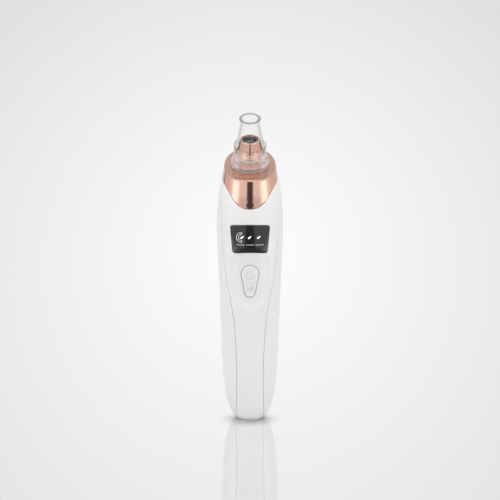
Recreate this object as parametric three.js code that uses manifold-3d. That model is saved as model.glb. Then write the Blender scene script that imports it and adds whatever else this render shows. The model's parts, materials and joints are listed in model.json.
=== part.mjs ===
// Pore vacuum: a hand-held suction wand that stands upright on its rounded lower end.
// Millimetres, +Z up. The front, with the display and the key, faces -Y.
// The origin is the middle of the flat foot.

import * as THREE from 'three';
import { mergeVertices } from 'three/addons/utils/BufferGeometryUtils.js';
import Module from 'manifold-3d';

const wasm = await Module();
wasm.setup();

// Overall sizes of the body
const bodyWidth = 38;
const frontReach = 18.5;
const backReach = 20.4;
const headHeight = 147.8;
const headOffset = 0.5;
const headTilt = THREE.MathUtils.degToRad(19);
const wall = 1.8;

// Clearance between pieces that touch, and between a running piece and its seat
const fitGap = 0.3;

// Section of the body: exponents of the front and back halves of its oval
const frontSquareness = 2.55;
const backSquareness = 2.2;

// Outline of the body: level is a share of headHeight, the rest are shares of the overall half sizes
const outline = [
  { level: 0, width: 0.37, front: 0.565, back: 0.39 },
  { level: 0.008, width: 0.46, front: 0.605, back: 0.445 },
  { level: 0.024, width: 0.56, front: 0.64, back: 0.51 },
  { level: 0.055, width: 0.66, front: 0.672, back: 0.6 },
  { level: 0.12, width: 0.768, front: 0.72, back: 0.71 },
  { level: 0.27, width: 0.853, front: 0.785, back: 0.834 },
  { level: 0.43, width: 0.897, front: 0.848, back: 0.9 },
  { level: 0.6, width: 0.95, front: 0.94, back: 0.96 },
  { level: 0.77, width: 1, front: 1, back: 1 },
  { level: 0.86, width: 0.957, front: 0.99, back: 0.985 },
  { level: 0.945, width: 0.86, front: 0.92, back: 0.945 },
  { level: 1.08, width: 0.68, front: 0.74, back: 0.84 },
];

// Edge of the front cover: half width as a share of half the body width
const coverEdge = [
  { level: 0, width: 0.421 },
  { level: 0.18, width: 0.4 },
  { level: 0.37, width: 0.468 },
  { level: 0.48, width: 0.584 },
  { level: 0.59, width: 0.737 },
  { level: 0.7, width: 0.832 },
  { level: 0.84, width: 0.874 },
  { level: 1.08, width: 0.858 },
];
const coverBottom = 1;
const coverBack = -4;

// Grip waves on the sides and back
const gripTop = 62;
const gripPitch = 11.5;
const gripWaves = 4;
const gripSideDepth = 0.3;
const gripBackDepth = 0.5;
const gripFade = 0.5;
const gripFrontStart = -0.55;
const gripFrontEnd = -0.1;

// Collar: a plated cap with a tongue down the front
const collarDepth = 5.6;
const collarInset = 0.35;
const collarWall = 3.3;
const collarPlate = 2.3;
const spigotDepth = 4;
const tongueRadius = 11.3;
const tongueDrop = 22.3;
const tongueSlope = THREE.MathUtils.degToRad(55.9);

// Display window: trapezoid with round corners and arched edges
const displayDrop = 40.25;
const windowTopWidth = 22.6;
const windowBottomWidth = 19.5;
const windowHeight = 16.1;
const windowCorner = 1.5;
const windowArch = 0.5;
const windowThickness = 0.9;
const windowLedge = 1.2;

// Key: egg-shaped, between a large upper and a small lower circle
const keyDrop = 65;
const keyUpperRadius = 5;
const keyLowerRadius = 2.9;
const keyHeight = 18.7;
const keyGap = 0.35;
const keyProud = 0.25;
const keyFlange = 1.3;
const keyFlangeThickness = 0.8;
const keyTravel = 0.3;
const keyStemRadius = 1.6;

// Thumb dish round the key
const dishDepth = 0.7;
const dishHalfWidth = 12.5;
const dishHalfHeight = 19;
const dishRise = 1.2;
const dishFlat = 0.75;
const dishFadeStart = 7;
const dishFadeEnd = 21;

// Neck, turned about the tilted axis of the head; heights are above the collar face
const neckRadius = 8.3;
const neckBodyTop = 7.8;
const neckRimRadius = 5.7;
const neckRimFoot = 10.4;
const neckRimFootRadius = 7.2;
const neckTop = 16.8;
const neckShankRadius = 6.2;
const neckCupRadius = 4.65;
const neckCupFloor = 7.5;
const barbRadius = 2.1;
const barbBore = 1.3;
const barbLength = 9.5;
const barbRoot = 5;
const clipGrooveRadius = 5.2;
const clipThickness = 1.2;
const clipOuterRadius = 8.5;
const clipMouth = THREE.MathUtils.degToRad(50);
const sealGrooveDepth = 1;
const sealLow = 4.6;
const sealHigh = 6.8;
const sealProud = 0.05;

// Filter in the mouth of the neck
const filterWall = 0.5;
const filterTop = 16.4;
const filterHoleRadius = 0.45;
const filterHoleCircle = 2.2;
const filterHoles = 6;
const spongeThickness = 2.5;

// Suction tip; radii and heights above the collar face
const tipFloor = 0.3;
const tipFlangeWall = 2.4;
const tipFlangeTop = 2.2;
const tipSkirtWall = 1.75;
const tipStep = 6.4;
const tipShoulder = 10.6;
const tipUpperWall = 1.15;
const tipLipTop = 13.1;
const tipLipWall = 0.6;
const tipLipThickness = 0.5;
const tipTaper = 0.3;
const tipConeRadius = 8.4;
const tipConeTop = 29.5;
const tipConeTopRadius = 5.3;
const tipBeadRadius = 6.2;
const tipTop = 30.6;
const tipMouthRadius = 4.7;
const tipThroatRadius = 4.45;
const tipConeWall = 0.85;

// Boards and what they carry
const boardDepth = 7.2;
const boardThickness = 1.2;
const boardWidth = 22;
const boardBelowKey = 14.8;
const boardAboveDisplay = 10.5;
const boardScrewSpread = 8.6;
const boardScrewEnd = 2.7;
const screwRadius = 0.7;
const screwHeadRadius = 1.4;
const screwHeadHeight = 1.1;
const screwReach = 2.3;
const bossWall = 0.9;
const switchSize = 6;
const switchHeight = 2.4;
const plungerRadius = 1.7;
const plungerProud = 0.8;
const plungerSeat = 0.5;
const ledSpread = 4.8;
const ledSize = 1.6;
const ledHeight = 0.9;
const lightBoxWidth = 18;
const lightBoxHeight = 13;
const lightCellWidth = 4;
const lightCellHeight = 9;
const chipSize = 5;
const chipHeight = 0.9;

// Motor and pump, stacked on one upright axis and hung below the head
const pumpAxisY = 5;
const pumpDrop = 27.3;
const pumpRadius = 11.3;
const pumpCoverHeight = 5;
const pumpChamberDepth = 2;
const pumpWall = 1.3;
const valvePlateHeight = 2;
const diaphragmHeight = 1.5;
const diaphragmCupDepth = 2;
const diaphragmCupRadius = 2.6;
const diaphragmCups = 3;
const diaphragmCupCircle = 6;
const wobbleHeight = 1.4;
const wobbleRadius = 8.4;
const wobblePinRadius = 0.8;
const wobblePinOffset = 3;
const pumpBaseHeight = 9;
const wheelRadius = 5.6;
const wheelHeight = 3.4;
const wheelFloor = 1.2;
const nippleRadius = 2.1;
const nippleBore = 1.3;
const nippleHeight = 6;
const outletOffset = 6.5;
const motorRadius = 9.5;
const motorLength = 25.5;
const motorWall = 0.8;
const endCapHeight = 2.2;
const endCapFloor = 0.6;
const bushRadius = 2.6;
const shaftRadius = 1;
const magnetThickness = 1.3;
const magnetLength = 18;
const magnetArc = THREE.MathUtils.degToRad(120);
const armatureGap = 0.5;
const armatureLength = 15;
const armaturePoles = 3;
const armatureSlot = THREE.MathUtils.degToRad(34);
const armatureCore = 3.2;
const commutatorRadius = 2.6;
const commutatorLength = 3.2;
const brushLength = 2.4;
const brushWidth = 1.4;
const sleeveThickness = 1;
const sleeveLength = 22;

// Ribs and clamp that carry the motor
const ribThickness = 2;
const sleeveRibSpread = 15;
const clampHeight = 6;
const clampThickness = 1;
const clampEarThickness = 1.5;
const clampEarWall = 0.5;
const clampScrewReach = 2.6;

// Battery, fills the bay between the charging board and the motor
const cellRadius = 7.1;
const cellAxisY = 1.5;
const cellFloor = 17;
const cellHeadroom = 6;
const cellRibLow = 26;
const cellRibHeadroom = 14;
const shelfThickness = 1.6;
const tabThickness = 0.4;
const tabWidth = 4;
const tabLength = 6;

// Charging socket in the foot
const socketY = 4.5;
const socketWidth = 7.5;
const socketThickness = 2.5;
const socketHeight = 5.6;
const socketRecess = 0.5;
const socketWall = 0.4;
const socketTongueWidth = 4.6;
const socketTongueThickness = 0.6;
const socketTongueLength = 3.4;
const chargeBoardWidth = 11;
const chargeBoardLow = 4.6;
const chargeBoardThickness = 1;
const railWidth = 1.2;

// Exhaust slots at the back
const slotCount = 3;
const slotWidth = 10;
const slotHeight = 1.2;
const slotPitch = 3.2;
const slotDrop = 40;

// Leads and hose
const leadRadius = 0.5;
const leadSpread = 9;
const leadNear = 3;
const leadEnd = 3;
const leadClear = 1.2;
const hoseRadius = 3.4;

// Mesh fineness
const bodySides = 28;
const roundSides = 20;
const smallSides = 12;
const holeSides = 8;
const arcSegments = 6;
const leadSegments = 4;
const leadStep = 5;
const hoseSteps = 10;
const footStep = 0.8;
const footGrowth = 0.4;
const shapedStep = 5;
const plainStep = 14;
const edgeStep = 7;
const weldDistance = 1e-4;

// Places worked out from the sizes above
const halfWidth = bodyWidth / 2;
const beyond = 3 * bodyWidth;
const loftTop = headHeight * outline[outline.length - 1].level;
const displayZ = headHeight - displayDrop;
const keyZ = headHeight - keyDrop;
const keyTop = keyZ + keyHeight / 2;
const windowBottom = displayZ - windowHeight / 2;
const seatInset = wall + fitGap;
const frontAtKey = -halfSizes(keyZ).front;
const boardFront = frontAtKey + boardDepth;
const boardBack = boardFront + boardThickness;
const boardLow = keyZ - boardBelowKey;
const boardHigh = displayZ + boardAboveDisplay;
const switchTop = boardFront - fitGap - switchHeight;
const plungerTop = switchTop - plungerProud;
const pumpTop = headHeight - pumpDrop;
const pumpCoverFloor = pumpTop - pumpCoverHeight;
const valvePlateFloor = pumpCoverFloor - fitGap - valvePlateHeight;
const diaphragmFloor = valvePlateFloor - fitGap - diaphragmHeight;
const wobbleTop = diaphragmFloor - diaphragmCupDepth - fitGap;
const wobbleFloor = wobbleTop - wobbleHeight;
const pumpBaseTop = diaphragmFloor - fitGap;
const pumpBaseFloor = pumpBaseTop - pumpBaseHeight;
const wheelTop = wobbleFloor - fitGap;
const motorTop = pumpBaseFloor - fitGap;
const motorFloor = motorTop - motorLength;
const endCapTop = motorFloor - fitGap;
const endCapBottom = endCapTop - endCapHeight;
const motorMiddle = motorFloor + motorLength / 2;
const magnetRadius = motorRadius - motorWall - fitGap;
const armatureRadius = magnetRadius - magnetThickness - armatureGap;
const sleeveRadius = motorRadius + fitGap + sleeveThickness;
const sleeveSeat = sleeveRadius + fitGap;
const clampScrewX = sleeveSeat + clampThickness + fitGap + screwHeadRadius;
const cellTop = endCapBottom - cellHeadroom;
const screwHole = screwRadius + fitGap;
const bossRadius = screwHole + bossWall;
const sealGrooveRadius = neckRadius - sealGrooveDepth;
const tipBore = neckRadius + fitGap + sealProud;
const tipFlangeRadius = tipBore + tipFlangeWall;
const tipSkirtRadius = tipBore + tipSkirtWall;
const tipUpperRadius = tipBore + tipUpperWall;
const tipLipRadius = tipBore + tipLipWall;
const socketTop = socketRecess + socketHeight;
const chargeBoardFront = socketY + socketThickness / 2 + fitGap;
const chargeBoardBack = chargeBoardFront + chargeBoardThickness;
const shelfTop = cellFloor - 2 * fitGap - tabThickness;
const shelfBottom = shelfTop - shelfThickness;
const headMatrix = new THREE.Matrix4().makeRotationX(headTilt).setPosition(0, headOffset, headHeight);

// Finishes
function finish(color, roughness, metalness) {
  return new THREE.MeshStandardMaterial({ color, roughness, metalness });
}
const whitePlastic = finish(0xe9e8e6, 0.3, 0);
const rosePlating = finish(0xd9a488, 0.12, 1);
const clearPlastic = new THREE.MeshStandardMaterial({
  color: 0xeef1f2, roughness: 0.06, metalness: 0, transparent: true, opacity: 0.35,
});
const darkWindow = finish(0x1b1b1c, 0.12, 0);
const darkMetal = finish(0x4b4846, 0.4, 0.8);
const steel = finish(0xb4b6b8, 0.35, 1);
const nickel = finish(0xc6c3b8, 0.3, 1);
const brass = finish(0xc9a24b, 0.35, 1);
const magnetGrey = finish(0x3a3b3d, 0.7, 0.2);
const boardGreen = finish(0x1f5b3a, 0.45, 0);
const blackPlastic = finish(0x202123, 0.5, 0);
const greyPlastic = finish(0x8f9296, 0.5, 0);
const milkPlastic = finish(0xdcdcd6, 0.5, 0);
const ledWhite = finish(0xf6f3dc, 0.3, 0);
const blackRubber = finish(0x1b1b1b, 0.85, 0);
const paleSilicone = finish(0xd8d6cf, 0.6, 0);
const foamGrey = finish(0x55575a, 0.95, 0);
const foamWhite = finish(0xece9e2, 0.95, 0);
const cellBlue = finish(0x2c5f9e, 0.4, 0);
const leadRed = finish(0xb3272a, 0.5, 0);
const leadBlack = finish(0x1c1c1d, 0.5, 0);

// Slope of a smooth curve at one station; flat where the curve turns, so that it never overshoots
function slopeAt(stations, key, i) {
  const secant = (a, b) => (stations[b][key] - stations[a][key]) / (stations[b].level - stations[a].level);
  const last = stations.length - 1;
  const before = secant(Math.max(i - 1, 0), Math.max(i, 1));
  const after = secant(Math.min(i, last - 1), Math.min(i + 1, last));
  return before * after <= 0 ? 0 : (2 * before * after) / (before + after);
}

// Value at a level of the smooth curve through the stations
function smoothThrough(stations, key, level) {
  const found = stations.findIndex((station, i) => i > 0 && level <= station.level);
  const i = found < 0 ? stations.length - 2 : found - 1;
  const from = stations[i];
  const to = stations[i + 1];
  const span = to.level - from.level;
  const t = (level - from.level) / span;
  const u = 1 - t;
  const rise = u * u * (1 + 2 * t) * from[key] + t * t * (1 + 2 * u) * to[key];
  const lean = u * slopeAt(stations, key, i) - t * slopeAt(stations, key, i + 1);
  return rise + t * u * span * lean;
}

// Half sizes of the body at a height
function halfSizes(z) {
  const level = z / headHeight;
  return {
    width: halfWidth * smoothThrough(outline, 'width', level),
    front: frontReach * smoothThrough(outline, 'front', level),
    back: backReach * smoothThrough(outline, 'back', level),
  };
}

// Swell of the grip waves: none on the front, most at the back
function gripWave(z, sine) {
  const phase = (gripTop - z) / gripPitch;
  const last = gripWaves - 1;
  const fadeTop = THREE.MathUtils.smoothstep(phase, -gripFade, 0);
  const fadeBottom = 1 - THREE.MathUtils.smoothstep(phase, last, last + gripFade);
  const around = THREE.MathUtils.smoothstep(sine, gripFrontStart, gripFrontEnd);
  const depth = THREE.MathUtils.lerp(gripSideDepth, gripBackDepth, Math.max(0, sine));
  return fadeTop * fadeBottom * around * depth * Math.cos(2 * Math.PI * phase);
}

// Depth of the thumb dish at a place on the front; it runs out upwards, below the display
function thumbDish(x, z) {
  const rise = z - keyZ - dishRise;
  const radius = Math.hypot(x / dishHalfWidth, Math.min(rise, 0) / dishHalfHeight);
  const edge = 1 - THREE.MathUtils.smoothstep(radius, dishFlat, 1);
  const fade = 1 - THREE.MathUtils.smoothstep(z - keyZ, dishFadeStart, dishFadeEnd);
  return dishDepth * edge * fade;
}

// Point of the body surface, or of a surface inset below it; plain leaves out the waves and the dish
function bodyPoint(z, angle, inset, plain) {
  const sizes = halfSizes(z);
  const sine = Math.sin(angle);
  const cosine = Math.cos(angle);
  const isFront = sine < 0;
  const power = 2 / (isFront ? frontSquareness : backSquareness);
  const swell = (plain ? 0 : gripWave(z, sine)) - inset;
  const x = (sizes.width + swell) * Math.sign(cosine) * Math.abs(cosine) ** power;
  const reach = (isFront ? sizes.front : sizes.back) + swell;
  const y = reach * Math.sign(sine) * Math.abs(sine) ** power;
  const dip = plain || !isFront ? 0 : thumbDish(x, z);
  return [x, y + dip, z];
}

// Heights of the rings of a body surface, close at the rounded foot and in the grip
function ringLevels(floor, plain) {
  const levels = [floor];
  const gripFloor = gripTop - gripWaves * gripPitch;
  for (let z = 0; z < loftTop; ) {
    const inGrip = !plain && z > gripFloor && z < gripTop + gripPitch / 2;
    const most = inGrip ? gripPitch / 4 : plain ? plainStep : shapedStep;
    z = Math.min(loftTop, z + Math.min(most, footStep + footGrowth * z));
    if (z > floor + footStep / 2) {
      levels.push(z);
    }
  }
  return levels;
}

// Closed solid under a body surface, from the foot to above the head
function bodyLoft(inset, plain = false) {
  const levels = ringLevels(Math.max(inset, 0), plain);
  const points = [];
  const corners = [];
  levels.forEach((z, row) => {
    for (let i = 0; i < bodySides; i += 1) {
      points.push(...bodyPoint(z, (2 * Math.PI * i) / bodySides, inset, plain));
      const a = row * bodySides + i;
      const b = row * bodySides + ((i + 1) % bodySides);
      if (row + 1 < levels.length) {
        corners.push(a, b, b + bodySides, a, b + bodySides, a + bodySides);
      }
    }
  });
  const footCentre = points.length / 3;
  points.push(0, 0, levels[0], 0, 0, levels[levels.length - 1]);
  const lastRow = (levels.length - 1) * bodySides;
  for (let i = 0; i < bodySides; i += 1) {
    const next = (i + 1) % bodySides;
    corners.push(footCentre, next, i, footCentre + 1, lastRow + i, lastRow + next);
  }
  const geometry = new THREE.BufferGeometry();
  geometry.setAttribute('position', new THREE.Float32BufferAttribute(points, 3));
  geometry.setIndex(corners);
  return solid(geometry);
}

// Volume on the inner side of a triangle list, negative when its faces point in
function signedVolume(points, corners) {
  const a = new THREE.Vector3();
  const b = new THREE.Vector3();
  const c = new THREE.Vector3();
  let volume = 0;
  for (let i = 0; i < corners.length; i += 3) {
    a.fromArray(points, 3 * corners[i]);
    b.fromArray(points, 3 * corners[i + 1]);
    c.fromArray(points, 3 * corners[i + 2]);
    volume += a.dot(b.cross(c)) / 6;
  }
  return volume;
}

// Closed solid of a geometry, for joining and cutting
function solid(geometry) {
  geometry.deleteAttribute('normal');
  geometry.deleteAttribute('uv');
  const welded = mergeVertices(geometry, weldDistance);
  const vertProperties = new Float32Array(welded.getAttribute('position').array);
  const index = welded.getIndex().array;
  const corners = [];
  for (let i = 0; i < index.length; i += 3) {
    const [a, b, c] = [index[i], index[i + 1], index[i + 2]];
    if (a !== b && b !== c && c !== a) {
      corners.push(a, b, c);
    }
  }
  if (signedVolume(vertProperties, corners) < 0) {
    corners.reverse();
  }
  const triVerts = new Uint32Array(corners);
  return new wasm.Manifold(new wasm.Mesh({ numProp: 3, vertProperties, triVerts }));
}

// Geometry of a solid
function geometryOf(shape) {
  const mesh = shape.getMesh();
  const geometry = new THREE.BufferGeometry();
  geometry.setAttribute('position', new THREE.BufferAttribute(mesh.vertProperties, mesh.numProp));
  geometry.setIndex(new THREE.BufferAttribute(mesh.triVerts, 1));
  geometry.computeVertexNormals();
  return geometry;
}

// Box between two corners
function block([x0, y0, z0], [x1, y1, z1]) {
  const geometry = new THREE.BoxGeometry(x1 - x0, y1 - y0, z1 - z0);
  return solid(geometry.translate((x0 + x1) / 2, (y0 + y1) / 2, (z0 + z1) / 2));
}

// Upright cylinder
function drum(radius, low, high, x = 0, y = 0, sides = roundSides) {
  const geometry = new THREE.CylinderGeometry(radius, radius, high - low, sides);
  return solid(geometry.rotateX(Math.PI / 2).translate(x, y, (low + high) / 2));
}

// Cylinder along Y
function pin(radius, front, back, x, z, sides = smallSides) {
  const geometry = new THREE.CylinderGeometry(radius, radius, back - front, sides);
  return solid(geometry.translate(x, (front + back) / 2, z));
}

// Solid turned about the upright axis from radius and height pairs, closed on itself
function turned(profile) {
  const points = [...profile, profile[0]].map(([radius, height]) => new THREE.Vector2(radius, height));
  return solid(new THREE.LatheGeometry(points, roundSides).rotateX(Math.PI / 2));
}

// Upright prism over a shape in plan
function planPrism(shape, low, high) {
  const geometry = new THREE.ExtrudeGeometry(shape, {
    depth: high - low, bevelEnabled: false, curveSegments: arcSegments,
  });
  return solid(geometry.translate(0, 0, low));
}

// Prism behind a shape drawn in the front view
function frontPrism(shape, front, back) {
  const geometry = new THREE.ExtrudeGeometry(shape, {
    depth: back - front, bevelEnabled: false, curveSegments: arcSegments,
  });
  return solid(geometry.rotateX(Math.PI / 2).translate(0, back, 0));
}

// Round lead along a smooth route
function lead(route) {
  const path = new THREE.CatmullRomCurve3(route.map((point) => new THREE.Vector3(...point)));
  const shape = new THREE.Shape().absarc(0, 0, leadRadius, 0, 2 * Math.PI);
  const geometry = new THREE.ExtrudeGeometry(shape, {
    steps: Math.ceil(path.getLength() / leadStep), curveSegments: leadSegments, extrudePath: path,
  });
  return solid(geometry);
}

// Slab of the tilted head between two heights above the collar face
function headSlab(low, high) {
  const geometry = new THREE.BoxGeometry(2 * beyond, 2 * beyond, high - low);
  return solid(geometry.translate(0, 0, (low + high) / 2).applyMatrix4(headMatrix));
}

// Space that the collar takes: all above its seam, and the tongue at the front
function collarRegion(grow) {
  const radius = tongueRadius + grow;
  const centre = headHeight - tongueDrop + tongueRadius;
  const start = -Math.PI / 2 - tongueSlope;
  const end = -Math.PI / 2 + tongueSlope;
  const top = headHeight + beyond;
  const rise = top - centre + radius * Math.cos(tongueSlope);
  const spread = radius * Math.sin(tongueSlope) + rise / Math.tan(tongueSlope);
  const shape = new THREE.Shape();
  shape.absarc(0, centre, radius, start, end);
  shape.lineTo(spread, top);
  shape.lineTo(-spread, top);
  return headSlab(-collarDepth - grow, beyond).add(frontPrism(shape, -beyond, grow));
}

// Space that the front cover takes
function coverRegion(grow) {
  const edge = [];
  const bottom = coverBottom - grow;
  const rows = Math.ceil((loftTop - bottom) / edgeStep);
  for (let row = 0; row <= rows; row += 1) {
    const z = THREE.MathUtils.lerp(bottom, loftTop, row / rows);
    const share = smoothThrough(coverEdge, 'width', z / headHeight);
    edge.push(new THREE.Vector2(halfWidth * share + grow, z));
  }
  const mirrored = edge.map((point) => new THREE.Vector2(-point.x, point.y)).reverse();
  return frontPrism(new THREE.Shape([...edge, ...mirrored]), -beyond, coverBack + grow);
}

// White shell before it is split into its two halves
function bodyShell() {
  return bodyLoft(0).subtract(bodyLoft(wall, true)).subtract(collarRegion(fitGap));
}

// Display outline in the front view, grown all round
function windowShape(grow) {
  const top = displayZ + windowHeight / 2 + grow;
  const bottom = windowBottom - grow;
  const topHalf = windowTopWidth / 2 + grow;
  const bottomHalf = windowBottomWidth / 2 + grow;
  const corner = windowCorner + grow;
  const lean = (topHalf - bottomHalf) * (corner / (top - bottom));
  const shape = new THREE.Shape();
  shape.moveTo(-bottomHalf + corner, bottom);
  shape.quadraticCurveTo(0, bottom + 2 * windowArch, bottomHalf - corner, bottom);
  shape.quadraticCurveTo(bottomHalf, bottom, bottomHalf + lean, bottom + corner);
  shape.lineTo(topHalf - lean, top - corner);
  shape.quadraticCurveTo(topHalf, top, topHalf - corner, top);
  shape.quadraticCurveTo(0, top + 2 * windowArch, -topHalf + corner, top);
  shape.quadraticCurveTo(-topHalf, top, -topHalf + lean, top - corner);
  shape.lineTo(-bottomHalf - lean, bottom + corner);
  shape.quadraticCurveTo(-bottomHalf, bottom, -bottomHalf + corner, bottom);
  return shape;
}

// Key outline in the front view, grown all round
function keyShape(grow) {
  const upper = keyTop - keyUpperRadius;
  const lower = keyTop - keyHeight + keyLowerRadius;
  const lean = Math.asin((keyUpperRadius - keyLowerRadius) / (upper - lower));
  const shape = new THREE.Shape();
  shape.absarc(0, upper, keyUpperRadius + grow, -lean, Math.PI + lean);
  shape.absarc(0, lower, keyLowerRadius + grow, Math.PI + lean, 2 * Math.PI - lean);
  return shape;
}

// Places of the four board screws
function boardScrewPlaces() {
  const upper = (keyTop + windowBottom) / 2;
  const lower = boardLow + boardScrewEnd;
  return [
    [-boardScrewSpread, lower],
    [boardScrewSpread, lower],
    [-boardScrewSpread, upper],
    [boardScrewSpread, upper],
  ];
}

// Front shell: display seat, key opening and the bosses of the main board
function frontCover() {
  const seat = frontPrism(windowShape(fitGap), -beyond, 0).subtract(bodyLoft(windowThickness + fitGap));
  let cover = bodyShell().intersect(coverRegion(-fitGap / 2)).subtract(seat);
  cover = cover.subtract(frontPrism(windowShape(-windowLedge), -beyond, 0));
  cover = cover.subtract(frontPrism(keyShape(keyGap), -beyond, 0));
  const rooted = bodyLoft(wall / 2, true);
  for (const [x, z] of boardScrewPlaces()) {
    const face = boardFront - fitGap;
    const bore = pin(screwHole, face - screwReach - fitGap, face + fitGap, x, z);
    cover = cover.add(pin(bossRadius, -beyond, face, x, z).intersect(rooted)).subtract(bore);
  }
  return cover;
}

// Ribs, shelf, rails and bosses inside the rear shell
function rearSupports() {
  const rib = (y, low, high) => block([-beyond, y, low], [beyond, beyond, high]);
  const middles = [motorMiddle - sleeveRibSpread / 2, motorMiddle + sleeveRibSpread / 2];
  const sleeveBore = drum(sleeveSeat, endCapBottom, pumpTop, 0, pumpAxisY);
  const cellBore = drum(cellRadius + fitGap, shelfTop, endCapBottom, 0, cellAxisY);
  let supports = rib(cellAxisY, shelfBottom, shelfTop);
  for (const middle of middles) {
    supports = supports.add(rib(pumpAxisY, middle - ribThickness / 2, middle + ribThickness / 2));
  }
  for (const low of [cellRibLow, cellTop - cellRibHeadroom]) {
    supports = supports.add(rib(cellAxisY, low, low + ribThickness));
  }
  supports = supports.subtract(sleeveBore).subtract(cellBore);
  const railInner = chargeBoardWidth / 2 + fitGap;
  for (const side of [-1, 1]) {
    const [x0, x1] = [side * railInner, side * (railInner + railWidth)].sort((a, b) => a - b);
    supports = supports.add(block([x0, socketY, wall / 2], [x1, beyond, shelfBottom + fitGap]));
    const face = pumpAxisY + fitGap;
    const boss = pin(bossRadius, face, beyond, side * clampScrewX, motorMiddle);
    const depth = face + clampScrewReach + fitGap;
    const bore = pin(screwHole, face - fitGap, depth, side * clampScrewX, motorMiddle);
    supports = supports.add(boss).subtract(bore);
  }
  return supports.intersect(bodyLoft(wall / 2, true));
}

// Rear shell: foot, grip waves, charging slot and exhaust slots
function rearHousing() {
  let housing = bodyShell().subtract(coverRegion(fitGap / 2)).add(rearSupports());
  const slotX = socketWidth / 2 + fitGap;
  const slotY = socketThickness / 2 + fitGap;
  housing = housing.subtract(block([-slotX, socketY - slotY, -wall], [slotX, socketY + slotY, 2 * wall]));
  for (let i = 0; i < slotCount; i += 1) {
    const z = headHeight - slotDrop - i * slotPitch;
    housing = housing.subtract(
      block([-slotWidth / 2, pumpAxisY + pumpRadius, z], [slotWidth / 2, beyond, z + slotHeight]),
    );
  }
  return housing;
}

// Plated cap: sloping plate, thick rim, spigot inside the shells and tongue down the front
function headCollar() {
  const cap = bodyLoft(collarInset, true).intersect(collarRegion(0)).intersect(headSlab(-beyond, 0));
  const spigot = bodyLoft(seatInset, true).intersect(headSlab(-collarDepth - spigotDepth, -collarPlate));
  const hollow = bodyLoft(collarWall, true).intersect(headSlab(-beyond, -collarPlate));
  const hole = solid(
    new THREE.CylinderGeometry(neckShankRadius + fitGap, neckShankRadius + fitGap, beyond, roundSides)
      .rotateX(Math.PI / 2)
      .applyMatrix4(headMatrix),
  );
  return cap.add(spigot).subtract(hollow).subtract(hole);
}

// Dark pane that fills the display seat, flush with the cover
function displayWindow() {
  const skin = bodyLoft(0).subtract(bodyLoft(windowThickness));
  return frontPrism(windowShape(0), -beyond, 0).intersect(skin);
}

// Key: a face through the cover, a flange behind it and a stem over the switch
function powerModeKey() {
  const behind = bodyLoft(seatInset + keyFlangeThickness, true);
  const face = frontPrism(keyShape(0), -beyond, 0).intersect(bodyLoft(-keyProud).subtract(behind));
  const band = bodyLoft(seatInset, true).subtract(behind);
  const flange = frontPrism(keyShape(keyFlange), -beyond, 0).intersect(band);
  const stem = pin(keyStemRadius, frontAtKey + wall, plungerTop - fitGap, 0, keyZ);
  return face.add(flange).add(stem);
}

// Stepped neck with a cup for the filter, a groove for the seal, a groove for the clip and a hose barb
function nozzleNeck() {
  const shankEnd = -collarPlate - 2 * fitGap - clipThickness;
  return turned([
    [barbBore, -barbLength],
    [barbRadius, -barbLength],
    [barbRadius, -barbRoot],
    [neckShankRadius, -barbRoot],
    [neckShankRadius, shankEnd],
    [clipGrooveRadius, shankEnd],
    [clipGrooveRadius, -collarPlate],
    [neckShankRadius, -collarPlate],
    [neckShankRadius, fitGap],
    [neckRadius, fitGap],
    [neckRadius, sealLow],
    [sealGrooveRadius, sealLow],
    [sealGrooveRadius, sealHigh],
    [neckRadius, sealHigh],
    [neckRadius, neckBodyTop],
    [neckRimFootRadius, neckRimFoot],
    [neckRimRadius, neckTop],
    [neckCupRadius, neckTop],
    [neckCupRadius, neckCupFloor],
    [barbBore, neckCupFloor],
  ]);
}

// Rubber ring that seals and grips the tip
function neckSealRing() {
  const inner = sealGrooveRadius + fitGap;
  const outer = neckRadius + sealProud;
  const low = sealLow + fitGap;
  const high = sealHigh - fitGap;
  const round = (high - low) / 4;
  return turned([
    [inner, low],
    [outer - round, low],
    [outer, low + round],
    [outer, high - round],
    [outer - round, high],
    [inner, high],
  ]);
}

// Open spring clip under the collar plate
function neckRetainer() {
  const inner = clipGrooveRadius + fitGap;
  const start = Math.PI / 2 + clipMouth / 2;
  const end = Math.PI / 2 - clipMouth / 2 + 2 * Math.PI;
  const shape = new THREE.Shape();
  shape.absarc(0, 0, clipOuterRadius, start, end);
  shape.absarc(0, 0, inner, end, start, true);
  const top = -collarPlate - fitGap;
  return planPrism(shape, top - clipThickness, top);
}

// Thin metal cup with holes in its floor
function filterHolder() {
  const outer = neckCupRadius - fitGap;
  const floor = neckCupFloor + fitGap;
  let cup = drum(outer, floor, filterTop);
  cup = cup.subtract(drum(outer - filterWall, floor + filterWall, filterTop + filterWall));
  for (let i = 0; i < filterHoles; i += 1) {
    const angle = (2 * Math.PI * i) / filterHoles;
    const x = filterHoleCircle * Math.cos(angle);
    const y = filterHoleCircle * Math.sin(angle);
    cup = cup.subtract(drum(filterHoleRadius, floor - filterWall, floor + 2 * filterWall, x, y, holeSides));
  }
  return cup;
}

// Foam disc on the floor of the filter cup
function filterSponge() {
  const floor = neckCupFloor + fitGap + filterWall + fitGap;
  return drum(neckCupRadius - fitGap - filterWall - fitGap, floor, floor + spongeThickness);
}

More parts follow.
